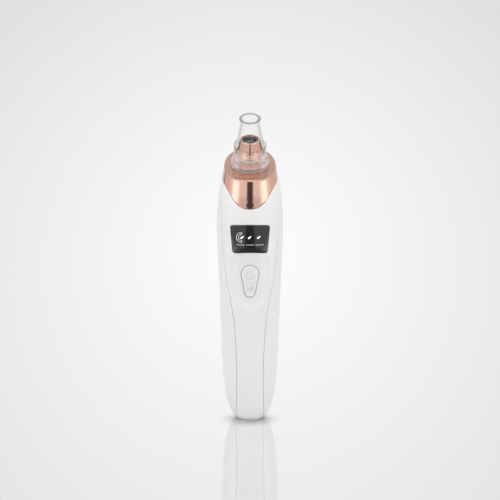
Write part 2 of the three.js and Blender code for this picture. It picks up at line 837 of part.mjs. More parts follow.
// Clear tip: flange, stepped skirt, lip, cone and beaded mouth
function suctionTip() {
  const beadLow = tipConeTop + fitGap;
  const beadHigh = tipTop - fitGap;
  const coneInner = tipConeRadius - tipConeWall;
  return turned([
    [tipBore, tipFloor],
    [tipFlangeRadius, tipFloor],
    [tipFlangeRadius, tipFlangeTop],
    [tipSkirtRadius, tipFlangeTop],
    [tipSkirtRadius - tipTaper, tipStep],
    [tipUpperRadius, tipStep],
    [tipLipRadius, tipShoulder],
    [tipLipRadius, tipLipTop],
    [tipLipRadius - tipLipThickness, tipLipTop],
    [tipLipRadius - tipLipThickness, tipShoulder + fitGap],
    [tipConeRadius, tipShoulder + fitGap],
    [tipConeTopRadius, tipConeTop],
    [tipBeadRadius, beadLow + fitGap],
    [tipBeadRadius, beadHigh],
    [tipBeadRadius - fitGap, tipTop],
    [tipMouthRadius, tipTop],
    [tipThroatRadius, tipConeTop],
    [coneInner, tipShoulder],
    [tipBore, neckBodyTop + 2 * fitGap],
  ]);
}

// Main board with its screw holes
function mainBoard() {
  let board = block([-boardWidth / 2, boardFront, boardLow], [boardWidth / 2, boardBack, boardHigh]);
  for (const [x, z] of boardScrewPlaces()) {
    board = board.subtract(pin(screwHole, boardFront - fitGap, boardBack + fitGap, x, z));
  }
  return board;
}

// Screw from behind the board into a boss of the cover
function boardScrew([x, z]) {
  const seat = boardBack + fitGap;
  const shank = pin(screwRadius, boardFront - screwReach, seat + screwHeadHeight / 2, x, z);
  return shank.add(pin(screwHeadRadius, seat, seat + screwHeadHeight, x, z));
}

// Switch body with a well for its plunger
function tactSwitch() {
  const half = switchSize / 2;
  const body = block([-half, switchTop, keyZ - half], [half, boardFront - fitGap, keyZ + half]);
  const wellFloor = switchTop + plungerSeat + keyTravel + fitGap;
  return body.subtract(pin(plungerRadius + fitGap, switchTop - plungerSeat, wellFloor, 0, keyZ));
}

// Plunger of the switch, under the stem of the key
function switchPlunger() {
  return pin(plungerRadius, plungerTop, switchTop + plungerSeat, 0, keyZ);
}

// Centre of a lamp behind one icon
function ledX(i) {
  return (i - 1) * ledSpread;
}

// Lamp on the board
function indicatorLed(i) {
  const half = ledSize / 2;
  const back = boardFront - fitGap;
  return block([ledX(i) - half, back - ledHeight, displayZ - half], [ledX(i) + half, back, displayZ + half]);
}

// Block with one light well for each lamp, between the board and the cover
function lightBox() {
  const halfHeight = lightBoxHeight / 2;
  let frame = block(
    [-lightBoxWidth / 2, -beyond, displayZ - halfHeight],
    [lightBoxWidth / 2, boardFront - fitGap, displayZ + halfHeight],
  );
  for (const i of [0, 1, 2]) {
    const half = lightCellWidth / 2;
    const low = displayZ - lightCellHeight / 2;
    frame = frame.subtract(
      block([ledX(i) - half, -2 * beyond, low], [ledX(i) + half, 0, low + lightCellHeight]),
    );
  }
  return frame.intersect(bodyLoft(seatInset, true));
}

// Chip on the back of the board
function controllerChip() {
  const half = chipSize / 2;
  const front = boardBack + fitGap;
  const z = boardHigh - chipSize;
  return block([-half, front, z - half], [half, front + chipHeight, z + half]);
}

// Steel cup of the motor, open below
function motorCan() {
  const can = drum(motorRadius, motorFloor, motorTop);
  const hollow = drum(motorRadius - motorWall, motorFloor - motorWall, motorTop - motorWall);
  return can.subtract(hollow).subtract(drum(shaftRadius + fitGap, motorFloor, motorTop + motorWall));
}

// End cap with a blind bush for the shaft
function motorEndCap() {
  const bush = drum(bushRadius, endCapBottom, endCapTop);
  const cap = drum(motorRadius, endCapBottom, endCapTop).add(bush);
  return cap.subtract(drum(shaftRadius + fitGap, endCapBottom + endCapFloor, endCapTop + fitGap));
}

// Curved magnet on one side of the can
function motorMagnet(side) {
  const middle = side > 0 ? 0 : Math.PI;
  const start = middle - magnetArc / 2;
  const end = middle + magnetArc / 2;
  const shape = new THREE.Shape();
  shape.absarc(0, 0, magnetRadius, start, end);
  shape.absarc(0, 0, magnetRadius - magnetThickness, end, start, true);
  return planPrism(shape, motorMiddle - magnetLength / 2, motorMiddle + magnetLength / 2);
}

// Brush on the end cap, beside the commutator
function motorBrush(side) {
  const inner = commutatorRadius + fitGap;
  const [x0, x1] = [side * inner, side * (inner + brushLength)].sort((a, b) => a - b);
  const floor = endCapTop + fitGap;
  return block([x0, -brushWidth / 2, floor], [x1, brushWidth / 2, floor + commutatorLength]);
}

// Shaft from the bush of the end cap to the eccentric wheel
function motorShaft() {
  return drum(shaftRadius, endCapBottom + endCapFloor + fitGap, wheelTop - fitGap, 0, 0, smallSides);
}

// Armature with one pole for each winding
function motorArmature() {
  const shape = new THREE.Shape();
  const step = (2 * Math.PI) / armaturePoles;
  for (let i = 0; i < armaturePoles; i += 1) {
    const start = i * step + armatureSlot / 2;
    const end = (i + 1) * step - armatureSlot / 2;
    const slot = (i + 1) * step;
    shape.absarc(0, 0, armatureRadius, start, end);
    shape.lineTo(armatureCore * Math.cos(slot), armatureCore * Math.sin(slot));
  }
  const low = motorMiddle - armatureLength / 2;
  const poles = planPrism(shape, low, low + armatureLength);
  return poles.subtract(drum(shaftRadius + fitGap, low - fitGap, low + armatureLength + fitGap));
}

// Copper ring that the brushes press on
function motorCommutator() {
  const low = endCapTop + fitGap;
  const body = drum(commutatorRadius, low, low + commutatorLength);
  return body.subtract(drum(shaftRadius + fitGap, low - fitGap, low + commutatorLength + fitGap));
}

// Wheel on the shaft, with a round groove that the pin of the wobble plate runs in
function eccentricWheel() {
  const low = wheelTop - wheelHeight;
  const grooveInner = wobblePinOffset - wobblePinRadius - fitGap;
  const grooveOuter = wobblePinOffset + wobblePinRadius + fitGap;
  return turned([
    [shaftRadius + fitGap, low],
    [wheelRadius, low],
    [wheelRadius, wheelTop],
    [grooveOuter, wheelTop],
    [grooveOuter, low + wheelFloor],
    [grooveInner, low + wheelFloor],
    [grooveInner, wheelTop - fitGap],
    [shaftRadius + fitGap, wheelTop - fitGap],
  ]);
}

// Plate under the cups of the diaphragm, with an off-centre pin
function wobblePlate() {
  const pinLow = wheelTop - wheelHeight + wheelFloor + fitGap;
  const plate = drum(wobbleRadius, wobbleFloor, wobbleTop);
  return plate.add(drum(wobblePinRadius, pinLow, wobbleTop, wobblePinOffset, 0, smallSides));
}

// Cup between the motor and the diaphragm
function pumpBase() {
  const inner = pumpRadius - pumpWall;
  const cup = drum(pumpRadius, pumpBaseFloor, pumpBaseTop);
  const hollow = drum(inner, pumpBaseFloor + pumpWall, pumpBaseTop + pumpWall);
  return cup.subtract(hollow).subtract(drum(bushRadius, pumpBaseFloor - fitGap, pumpBaseTop));
}

// Rubber disc with its pumping cups
function pumpDiaphragm() {
  let disc = drum(pumpRadius, diaphragmFloor, diaphragmFloor + diaphragmHeight);
  for (let i = 0; i < diaphragmCups; i += 1) {
    const angle = (2 * Math.PI * i) / diaphragmCups + Math.PI / 2;
    const x = diaphragmCupCircle * Math.cos(angle);
    const y = diaphragmCupCircle * Math.sin(angle);
    const low = diaphragmFloor - diaphragmCupDepth;
    disc = disc.add(drum(diaphragmCupRadius, low, diaphragmFloor + diaphragmHeight / 2, x, y, smallSides));
  }
  return disc;
}

// Plate with one valve hole for each cup
function valvePlate() {
  let plate = drum(pumpRadius, valvePlateFloor, valvePlateFloor + valvePlateHeight);
  for (let i = 0; i < diaphragmCups; i += 1) {
    const angle = (2 * Math.PI * i) / diaphragmCups + Math.PI / 2;
    const x = diaphragmCupCircle * Math.cos(angle);
    const y = diaphragmCupCircle * Math.sin(angle);
    const hole = drum(nippleBore, valvePlateFloor - fitGap, pumpCoverFloor, x, y, smallSides);
    plate = plate.subtract(hole);
  }
  return plate;
}

// Cover of the pump with an inlet nipple on the axis and an outlet nipple beside it
function pumpCover() {
  let cover = drum(pumpRadius, pumpCoverFloor, pumpTop);
  const inner = pumpRadius - pumpWall;
  cover = cover.subtract(drum(inner, pumpCoverFloor - pumpChamberDepth, pumpCoverFloor + pumpChamberDepth));
  for (const x of [0, outletOffset]) {
    const top = x === 0 ? pumpTop + nippleHeight : pumpTop + nippleHeight / 2;
    cover = cover.add(drum(nippleRadius, pumpCoverFloor + pumpChamberDepth, top, x, 0, smallSides));
    cover = cover.subtract(drum(nippleBore, pumpCoverFloor, top + fitGap, x, 0, smallSides));
  }
  return cover;
}

// Foam sleeve round the motor
function pumpSleeve() {
  const low = motorMiddle - sleeveLength / 2;
  const outer = drum(sleeveRadius, low, low + sleeveLength);
  return outer.subtract(drum(motorRadius + fitGap, low - fitGap, low + sleeveLength + fitGap));
}

// Half strap with two ears, across the front of the sleeve
function pumpClamp() {
  const low = motorMiddle - clampHeight / 2;
  const high = motorMiddle + clampHeight / 2;
  const reach = clampScrewX + screwHole + clampEarWall;
  let strap = drum(sleeveSeat + clampThickness, low, high);
  strap = strap.intersect(block([-beyond, -beyond, low], [beyond, 0, high]));
  strap = strap.add(block([-reach, -clampEarThickness, low], [reach, 0, high]));
  strap = strap.subtract(drum(sleeveSeat, low - fitGap, high + fitGap));
  for (const side of [-1, 1]) {
    const hole = pin(screwHole, -clampEarThickness - clampThickness, fitGap, side * clampScrewX, motorMiddle);
    strap = strap.subtract(hole);
  }
  return strap;
}

// Screw through one ear of the clamp
function clampScrew(side) {
  const seat = -clampEarThickness - fitGap;
  const x = side * clampScrewX;
  const shank = pin(screwRadius, seat - screwHeadHeight / 2, fitGap + clampScrewReach, x, motorMiddle);
  return shank.add(pin(screwHeadRadius, seat - screwHeadHeight, seat, x, motorMiddle));
}

// Hose from the inlet nipple of the pump to the barb of the neck
function suctionHose() {
  const onAxis = (height) => new THREE.Vector3(0, 0, height).applyMatrix4(headMatrix);
  const barbTop = onAxis(-barbRoot - fitGap);
  const barbEnd = onAxis(-barbLength);
  const nippleTop = new THREE.Vector3(0, pumpAxisY, pumpTop + nippleHeight);
  const nippleFoot = new THREE.Vector3(0, pumpAxisY, pumpTop + fitGap);
  const bend = barbEnd.distanceTo(nippleTop) / 3;
  const barbBend = onAxis(-barbLength - bend);
  const nippleBend = nippleTop.clone().add(new THREE.Vector3(0, 0, bend));
  const path = new THREE.CurvePath();
  path.add(new THREE.LineCurve3(nippleFoot, nippleTop));
  path.add(new THREE.CubicBezierCurve3(nippleTop, nippleBend, barbBend, barbEnd));
  path.add(new THREE.LineCurve3(barbEnd, barbTop));
  const section = new THREE.Shape().absarc(0, 0, hoseRadius, 0, 2 * Math.PI);
  section.holes.push(new THREE.Path().absarc(0, 0, barbRadius + fitGap, 0, 2 * Math.PI, true));
  const geometry = new THREE.ExtrudeGeometry(section, {
    steps: hoseSteps, curveSegments: arcSegments, extrudePath: path,
  });
  return solid(geometry);
}

// Cell on the cradle ribs of the rear shell
function batteryCell() {
  return drum(cellRadius, cellFloor, cellTop, 0, cellAxisY);
}

// Contact tab at one end of the cell
function batteryTab(low) {
  return block(
    [-tabWidth / 2, cellAxisY - tabLength / 2, low],
    [tabWidth / 2, cellAxisY + tabLength / 2, low + tabThickness],
  );
}

// Board behind the charging socket, held between two rails and under the shelf
function chargeBoard() {
  const half = chargeBoardWidth / 2;
  return block([-half, chargeBoardFront, chargeBoardLow], [half, chargeBoardBack, shelfBottom - fitGap]);
}

// Metal shell of the charging socket, open below
function chargeSocket() {
  const halfX = socketWidth / 2;
  const halfY = socketThickness / 2;
  const shell = block([-halfX, socketY - halfY, socketRecess], [halfX, socketY + halfY, socketTop]);
  const innerX = halfX - socketWall;
  const innerY = halfY - socketWall;
  const innerTop = socketTop - socketWall;
  return shell.subtract(block([-innerX, socketY - innerY, -wall], [innerX, socketY + innerY, innerTop]));
}

// Contact tongue inside the socket
function socketTongue() {
  const top = socketTop - socketWall - fitGap;
  const halfY = socketTongueThickness / 2;
  return block(
    [-socketTongueWidth / 2, socketY - halfY, top - socketTongueLength],
    [socketTongueWidth / 2, socketY + halfY, top],
  );
}

// Routes of the leads, each from the piece it leaves to the main board
function leadRoutes() {
  const tabFront = cellAxisY - tabLength / 2 - fitGap;
  const cellFront = cellAxisY - cellRadius - leadClear;
  const cellSide = cellRadius + leadClear;
  const cellMiddle = (cellFloor + cellTop) / 2;
  const boardFoot = boardLow - fitGap;
  const boardMiddle = (boardFront + boardBack) / 2;
  const boardRear = boardBack + fitGap + leadRadius;
  const boardJoint = endCapBottom + leadEnd;
  const chargeFace = chargeBoardFront - fitGap - leadRadius;
  const capFront = pumpAxisY - motorRadius - leadClear;
  const capUnder = endCapBottom - fitGap;
  const tabUnder = cellFloor - leadRadius - fitGap;
  const tabOver = cellTop + leadClear;
  const shelfFront = cellAxisY - leadClear - leadRadius;
  const chargeRoute = (side) => [
    [side * leadNear, chargeFace, shelfBottom - 2 * leadEnd],
    [side * leadNear, chargeFace - leadRadius, shelfBottom - leadEnd - leadRadius],
    [(side * (leadNear + cellSide)) / 2, shelfFront - leadClear, shelfBottom],
    [side * cellSide, -2 * leadClear, cellFloor + leadEnd],
    [side * cellSide, -leadClear, cellMiddle],
    [side * leadSpread, boardMiddle, boardFoot - leadEnd],
    [side * leadSpread, boardMiddle, boardFoot],
  ];
  const motorRoute = (side) => [
    [side * leadNear, pumpAxisY - motorRadius / 2, capUnder - leadRadius],
    [side * leadNear, (pumpAxisY + capFront) / 2 - leadClear, capUnder - 2 * leadClear],
    [side * leadNear, capFront - leadClear, capUnder],
    [side * leadNear, boardRear, boardJoint],
  ];
  return {
    battery_lead_bottom: [
      [0, tabFront, tabUnder],
      [0, cellFront, tabUnder - leadClear],
      [-leadNear, cellFront, cellFloor + leadEnd],
      [-leadNear, cellFront, cellMiddle],
      [-leadNear, boardMiddle, boardFoot - leadEnd],
      [-leadNear, boardMiddle, boardFoot],
    ],
    battery_lead_top: [
      [0, tabFront, tabOver],
      [0, (tabFront + boardRear) / 2, tabOver + leadRadius],
      [0, boardRear, boardLow + leadEnd],
    ],
    charge_lead_red: chargeRoute(1),
    charge_lead_black: chargeRoute(-1),
    motor_lead_red: motorRoute(1),
    motor_lead_black: motorRoute(-1),
  };
}

// Adds one named piece to a group
function addPart(group, name, shape, material) {
  const mesh = new THREE.Mesh(geometryOf(shape), material);
  mesh.name = name;
  group.add(mesh);
}

const wand = new THREE.Group();
const head = new THREE.Group();
head.position.set(0, headOffset, headHeight);
head.rotation.x = headTilt;
const pump = new THREE.Group();
pump.position.set(0, pumpAxisY, 0);
wand.add(head, pump);

addPart(wand, 'rear_housing', rearHousing(), whitePlastic);
addPart(wand, 'front_cover', frontCover(), whitePlastic);
addPart(wand, 'head_collar', headCollar(), rosePlating);
addPart(wand, 'display_window', displayWindow(), darkWindow);
addPart(wand, 'power_mode_key', powerModeKey(), whitePlastic);

addPart(head, 'nozzle_neck', nozzleNeck(), rosePlating);
addPart(head, 'neck_seal_ring', neckSealRing(), paleSilicone);
addPart(head, 'neck_retainer', neckRetainer(), steel);
addPart(head, 'filter_holder', filterHolder(), darkMetal);
addPart(head, 'filter_sponge', filterSponge(), foamWhite);
addPart(head, 'suction_tip', suctionTip(), clearPlastic);

addPart(wand, 'main_board', mainBoard(), boardGreen);
boardScrewPlaces().forEach((place, i) => {
  addPart(wand, `board_screw_${i + 1}`, boardScrew(place), steel);
});
addPart(wand, 'tact_switch', tactSwitch(), blackPlastic);
addPart(wand, 'switch_plunger', switchPlunger(), greyPlastic);
for (const i of [0, 1, 2]) {
  addPart(wand, `indicator_led_${i + 1}`, indicatorLed(i), ledWhite);
}
addPart(wand, 'light_box', lightBox(), milkPlastic);
addPart(wand, 'controller_chip', controllerChip(), blackPlastic);

addPart(pump, 'motor_can', motorCan(), steel);
addPart(pump, 'motor_end_cap', motorEndCap(), greyPlastic);
addPart(pump, 'motor_magnet_left', motorMagnet(-1), magnetGrey);
addPart(pump, 'motor_magnet_right', motorMagnet(1), magnetGrey);
addPart(pump, 'motor_brush_left', motorBrush(-1), magnetGrey);
addPart(pump, 'motor_brush_right', motorBrush(1), magnetGrey);
addPart(pump, 'motor_shaft', motorShaft(), steel);
addPart(pump, 'motor_armature', motorArmature(), steel);
addPart(pump, 'motor_commutator', motorCommutator(), brass);
addPart(pump, 'eccentric_wheel', eccentricWheel(), greyPlastic);
addPart(pump, 'wobble_plate', wobblePlate(), milkPlastic);
addPart(pump, 'pump_base', pumpBase(), blackPlastic);
addPart(pump, 'diaphragm', pumpDiaphragm(), blackRubber);
addPart(pump, 'valve_plate', valvePlate(), milkPlastic);
addPart(pump, 'pump_cover', pumpCover(), blackPlastic);
addPart(pump, 'pump_sleeve', pumpSleeve(), foamGrey);
addPart(pump, 'pump_clamp', pumpClamp(), greyPlastic);
addPart(pump, 'clamp_screw_1', clampScrew(-1), steel);
addPart(pump, 'clamp_screw_2', clampScrew(1), steel);
addPart(wand, 'suction_hose', suctionHose(), paleSilicone);

addPart(wand, 'battery_cell', batteryCell(), cellBlue);
addPart(wand, 'battery_tab_bottom', batteryTab(shelfTop + fitGap), nickel);
addPart(wand, 'battery_tab_top', batteryTab(cellTop + fitGap), nickel);
addPart(wand, 'charge_board', chargeBoard(), boardGreen);
addPart(wand, 'charge_socket', chargeSocket(), nickel);
addPart(wand, 'socket_tongue', socketTongue(), blackPlastic);
for (const [name, route] of Object.entries(leadRoutes())) {
  addPart(wand, name, lead(route), name.endsWith('black') || name.endsWith('bottom') ? leadBlack : leadRed);
}

export default wand;
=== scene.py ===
"""Looks of a pore vacuum wand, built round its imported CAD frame.

The file is laid out as an add-on and run as a script. Everything is in metres in the frame of the CAD part:
+Z is up, the display and the key face -Y, and the origin lies on the body's axis at the level of the foot.
"""

import json
import math

import bmesh
import bpy
import numpy as np
from bpy.props import FloatProperty, FloatVectorProperty, PointerProperty
from mathutils import Matrix, Vector
from mathutils.geometry import delaunay_2d_cdt


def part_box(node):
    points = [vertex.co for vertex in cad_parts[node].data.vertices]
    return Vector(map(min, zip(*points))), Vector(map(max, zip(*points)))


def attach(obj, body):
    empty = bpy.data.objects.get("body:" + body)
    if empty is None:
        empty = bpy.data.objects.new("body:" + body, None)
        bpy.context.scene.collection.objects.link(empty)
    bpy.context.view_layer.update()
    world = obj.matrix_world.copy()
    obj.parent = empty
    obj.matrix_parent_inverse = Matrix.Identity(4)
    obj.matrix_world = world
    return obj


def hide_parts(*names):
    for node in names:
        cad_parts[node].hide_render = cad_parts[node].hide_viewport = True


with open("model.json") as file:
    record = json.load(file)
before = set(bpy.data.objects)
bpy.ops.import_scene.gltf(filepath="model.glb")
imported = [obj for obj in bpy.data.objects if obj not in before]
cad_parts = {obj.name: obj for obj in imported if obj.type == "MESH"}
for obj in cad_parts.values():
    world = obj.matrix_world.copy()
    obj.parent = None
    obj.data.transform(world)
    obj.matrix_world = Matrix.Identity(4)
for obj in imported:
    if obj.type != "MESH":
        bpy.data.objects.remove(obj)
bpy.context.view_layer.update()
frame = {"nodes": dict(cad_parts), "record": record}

bl_info = {
    "name": "Pore Vacuum Wand",
    "version": (1, 0, 0),
    "blender": (4, 5, 0),
    "location": "View3D > Sidebar > Pore Vacuum",
    "description": "Builds the visible pieces, finishes and studio of a pore vacuum wand",
    "category": "Object",
}

MM = 0.001

# Section of the body: exponents of the front and back halves of its oval
FRONT_SQUARENESS = 2.55
BACK_SQUARENESS = 2.2

# Outline of the body: level, half width, front reach and back reach as shares of the overall sizes
OUTLINE = np.array([
    (0, 0.37, 0.565, 0.39),
    (0.008, 0.46, 0.605, 0.445),
    (0.024, 0.56, 0.64, 0.51),
    (0.055, 0.66, 0.672, 0.6),
    (0.12, 0.768, 0.72, 0.71),
    (0.27, 0.853, 0.785, 0.834),
    (0.43, 0.897, 0.848, 0.9),
    (0.6, 0.95, 0.94, 0.96),
    (0.77, 1, 1, 1),
    (0.86, 0.957, 0.99, 0.985),
    (0.945, 0.86, 0.92, 0.945),
    (1.08, 0.68, 0.74, 0.84),
])

# Edge of the front shell: level, and half width as a share of half the body width
COVER_EDGE = np.array([
    (0, 0.421),
    (0.18, 0.4),
    (0.37, 0.468),
    (0.48, 0.584),
    (0.59, 0.737),
    (0.7, 0.832),
    (0.84, 0.874),
    (1.08, 0.858),
])

# Places along the leads in millimetres; the black charge and motor leads mirror the red ones
LEAD_ROUTES = {
    "battery_lead_bottom": [
        (0, -1.8, 16.2), (0, -6.8, 15), (-3, -6.8, 20), (-3, -6.8, 42.4), (-3, -9.23, 64.7), (-3, -9.23, 67.7),
    ],
    "battery_lead_top": [(0, -1.8, 69), (0, -4.815, 69.5), (0, -7.83, 71)],
    "charge_lead_red": [
        (3, 5.25, 8.4), (3, 4.75, 10.9), (5.65, -1.4, 14.4), (8.3, -2.4, 20), (8.3, -1.2, 42.4),
        (9, -9.23, 64.7), (9, -9.23, 67.7),
    ],
    "motor_lead_red": [(3, 0.25, 73), (3, -1.55, 71.1), (3, -6.9, 73.5), (3, -7.83, 76.8)],
}

# Grip waves, and the share of the thumb dish's slope that is bent at each end
GRIP_WAVES = 4
GRIP_FADE = 0.5
GRIP_FRONT = (-0.55, -0.1)
DISH_CREASE = 0.1

# Rounds of the moulded edges at the display seat, the key opening and the exhaust slots
SEAT_ROUND = 0.18 * MM
OPENING_ROUND = 0.15 * MM
EXHAUST_ROUND = 0.2 * MM
EXHAUST_SLOTS = 3
EXHAUST_SPACING = 0.3 * MM

# Corner of the charging slot, and millimetres outwards and up along its lower edge
SLOT_CORNER = 1.2 * MM
SLOT_EDGE = ((0.25, 0), (0.12, 0.04), (0.04, 0.12), (0, 0.25))

# Ribs of the back shell: from the middle of the pump's sleeve, above the foot, and below the top of the cell
RIB = 2 * MM
SLEEVE_RIBS = (-8.5 * MM, 6.5 * MM)
CELL_RIB_RISE = 26 * MM
CELL_RIB_DROP = 14 * MM

# Room past the ends of the sleeve, thickness of the rails, and top of the ribs as a share of the body's height
SLEEVE_ROOM = 5 * MM
RAIL = 1.2 * MM
RIBS_TOP = 0.93

# Radii of the screw bosses and their bores
BOSS = 1.9 * MM
BOSS_BORE = 1 * MM

# Heights of the neck's barb from the collar's face, and how far the seal ring stands out of the neck
BARB_END = -9.5 * MM
BARB_TOP = -5 * MM
SEAL_PROUD = 0.05 * MM

# Most of the way to the next corner that a rounded corner takes up
CORNER_ROOM = 0.48

# Least room of a seed to an outline as a share of the spacing, and distance at which flat points are one
SEED_ROOM = 0.55
WELD = 1e-6
NO_SEEDS = np.zeros((0, 2))

# Points on the way round the foot
FOOT_POINTS = 181

# Mean depth of the pits in a foam surface
FOAM_PIT = 0.06 * MM

FRONT = -math.pi / 2
BACK = math.pi / 2
FULL_TURN = 2 * math.pi


def size(label, description, millimetres):
    """Length property with a default in millimetres."""
    return FloatProperty(
        name=label, description=description, default=millimetres * MM, subtype="DISTANCE", unit="LENGTH",
    )


def angle(label, description, degrees):
    """Angle property with a default in degrees."""
    return FloatProperty(
        name=label, description=description, default=math.radians(degrees), subtype="ANGLE", unit="ROTATION",
    )


def share(label, description, value, top=1.0):
    """Plain number property from 0 to a top value."""
    return FloatProperty(name=label, description=description, default=value, min=0, max=top, subtype="FACTOR")


def colour(label, description, value):
    """Linear colour property."""
    return FloatVectorProperty(
        name=label, description=description, default=value, min=0, max=1, size=3, subtype="COLOR",
    )


class PoreBodySizes(bpy.types.PropertyGroup):
    """Sizes of the white body"""

    width: size("Width", "Widest part of the body", 38)
    front_reach: size("Front reach", "Most that the front stands out from the axis", 18.5)
    back_reach: size("Back reach", "Most that the back stands out from the axis", 20.4)
    head_height: size("Head height", "Height of the middle of the sloping head", 147.8)
    head_offset: size("Head offset", "How far the middle of the head lies behind the axis", 0.5)
    head_tilt: angle("Head tilt", "Lean of the head towards the front", 19)
    wall: size("Wall", "Thickness of the shells", 1.8)
    seam: size("Seam", "Gap between pieces that meet", 0.3)
    cover_seam: size("Cover seam", "Gap that shows between the two shells", 0.24)
    edge_round: size("Edge round", "Radius of the moulded edges at the seams", 0.12)
    cover_back: size("Cover back", "How far in front of the axis the sides of the front shell end", 4)
    cover_bottom: size("Cover bottom", "Height of the lower edge of the front shell", 1)
    grip_top: size("Grip top", "Height of the crest of the highest grip wave", 62)
    grip_pitch: size("Grip pitch", "Distance between grip waves", 11.5)
    grip_side: size("Grip depth at the sides", "Swell of the grip waves at the sides", 0.3)
    grip_back: size("Grip depth at the back", "Swell of the grip waves at the back", 0.5)
    socket_place: size("Socket place", "Distance of the charging slot behind the axis", 4.5)
    slot_width: size("Exhaust width", "Width of an exhaust slot", 10)
    slot_height: size("Exhaust height", "Height of an exhaust slot", 1.2)
    slot_pitch: size("Exhaust pitch", "Distance between exhaust slots", 3.2)
    slot_drop: size("Exhaust drop", "Distance of the highest exhaust slot below the head", 40)


class PoreControlSizes(bpy.types.PropertyGroup):
    """Sizes of the display, the key and the thumb dish"""

    display_drop: size("Display drop", "Distance of the display's middle below the head", 40.25)
    window_top: size("Window top", "Width of the display along its top", 22.6)
    window_bottom: size("Window bottom", "Width of the display along its bottom", 19.5)
    window_height: size("Window height", "Height of the display", 16.1)
    window_corner: size("Window corner", "Corner size of the display", 1.5)
    window_arch: size("Window arch", "Rise of the display's long edges in their middle", 0.5)
    window_thickness: size("Window thickness", "Thickness of the display pane", 0.9)
    window_ledge: size("Window ledge", "Width of the ledge behind the pane", 1.2)
    key_drop: size("Key drop", "Distance of the key's middle below the head", 65)
    key_upper: size("Key upper radius", "Radius of the key's upper end", 5)
    key_lower: size("Key lower radius", "Radius of the key's lower end", 2.9)
    key_height: size("Key height", "Height of the key", 18.7)
    key_gap: size("Key gap", "Gap round the key", 0.35)
    key_proud: size("Key proud", "How far the key stands out of the shell", 0.25)
    key_flange: size("Key flange", "Width of the flange behind the shell", 1.3)
    key_flange_thickness: size("Key flange thickness", "Thickness of the flange", 0.8)
    key_stem: size("Key stem", "Radius of the stem over the switch", 1.6)
    dish_depth: size("Dish depth", "Depth of the thumb dish round the key", 0.85)
    dish_half_width: size("Dish half width", "Half the width of the thumb dish", 12.5)
    dish_half_height: size("Dish half height", "Reach of the thumb dish below the key", 19)
    dish_rise: size("Dish rise", "Height of the dish's middle above the key's", 1.2)
    dish_flat: share("Dish flat", "Share of the dish that is its floor", 0.75)
    dish_fade_start: size("Dish fade start", "Height above the key where the dish starts to run out", 7)
    dish_fade_end: size("Dish fade end", "Height above the key where the dish has run out", 21)


class PoreHeadSizes(bpy.types.PropertyGroup):
    """Sizes of the collar, the neck and the tip; heights are above the collar's face"""

    collar_depth: size("Collar depth", "Depth of the collar below its face", 5.6)
    collar_inset: size("Collar inset", "Step from the white shell in to the collar", 0.35)
    collar_wall: size("Collar wall", "Depth of the collar's inner side below the body surface", 3.3)
    collar_plate: size("Collar plate", "Thickness of the sloping plate", 2.3)
    spigot_depth: size("Spigot depth", "How far the collar reaches into the shells", 4)
    tongue_radius: size("Tongue radius", "Radius of the tongue's tip", 11.3)
    tongue_drop: size("Tongue drop", "Distance of the tongue's tip below the head", 22.3)
    tongue_slope: angle("Tongue slope", "Slope of the tongue's sides", 55.9)
    neck_radius: size("Neck radius", "Radius of the neck where the tip sits", 8.3)
    neck_shank: size("Neck shank", "Radius of the neck in the collar", 6.2)
    neck_body_top: size("Neck body top", "Top of the neck's wide part", 7.8)
    neck_rim: size("Neck rim", "Radius of the neck at its mouth", 5.7)
    neck_rim_foot: size("Neck rim foot", "Radius of the neck's upper step", 7.2)
    neck_rim_low: size("Neck step", "Height of the neck's upper step", 10.4)
    neck_top: size("Neck top", "Top of the neck", 16.8)
    cup_radius: size("Cup radius", "Radius of the mouth of the neck", 4.65)
    cup_floor: size("Cup floor", "Floor of the mouth of the neck", 7.5)
    filter_top: size("Filter top", "Top of the filter cup", 16.4)
    filter_wall: size("Filter wall", "Thickness of the filter cup", 0.5)
    tip_wall: size("Tip wall", "Wall of the tip's cone", 0.85)
    tip_top: size("Tip top", "Height of the tip's mouth", 30.6)
    tip_mouth: size("Tip mouth", "Radius of the tip's mouth", 4.7)


class PoreFinishes(bpy.types.PropertyGroup):
    """Colours of the finishes"""

    shell_white: colour("Shell white", "Moulded white of the body", (0.8, 0.8, 0.795))
    rose_gold: colour("Rose gold", "Plating of the collar and the neck", (0.81, 0.5, 0.405))
    clear_tip: colour("Clear tip", "Tint of the clear tip", (0.995, 0.995, 0.997))
    skirt_haze: colour("Skirt haze", "Tint of the tip's ridged skirt", (0.99, 0.94, 0.92))
    pane_black: colour("Pane black", "Dark display pane", (0.012, 0.012, 0.013))
    icon_white: colour("Icon white", "Lit icons of the display", (0.95, 0.95, 0.95))
    mark_grey: colour("Mark grey", "Small marks under the icons", (0.55, 0.55, 0.555))
    symbol_grey: colour("Symbol grey", "Moulded symbols on the key", (0.56, 0.56, 0.555))
    seal_pink: colour("Seal pink", "Silicone of the seal ring", (0.8, 0.62, 0.55))
    cup_grey: colour("Cup grey", "Metal of the filter cup", (0.42, 0.41, 0.4))


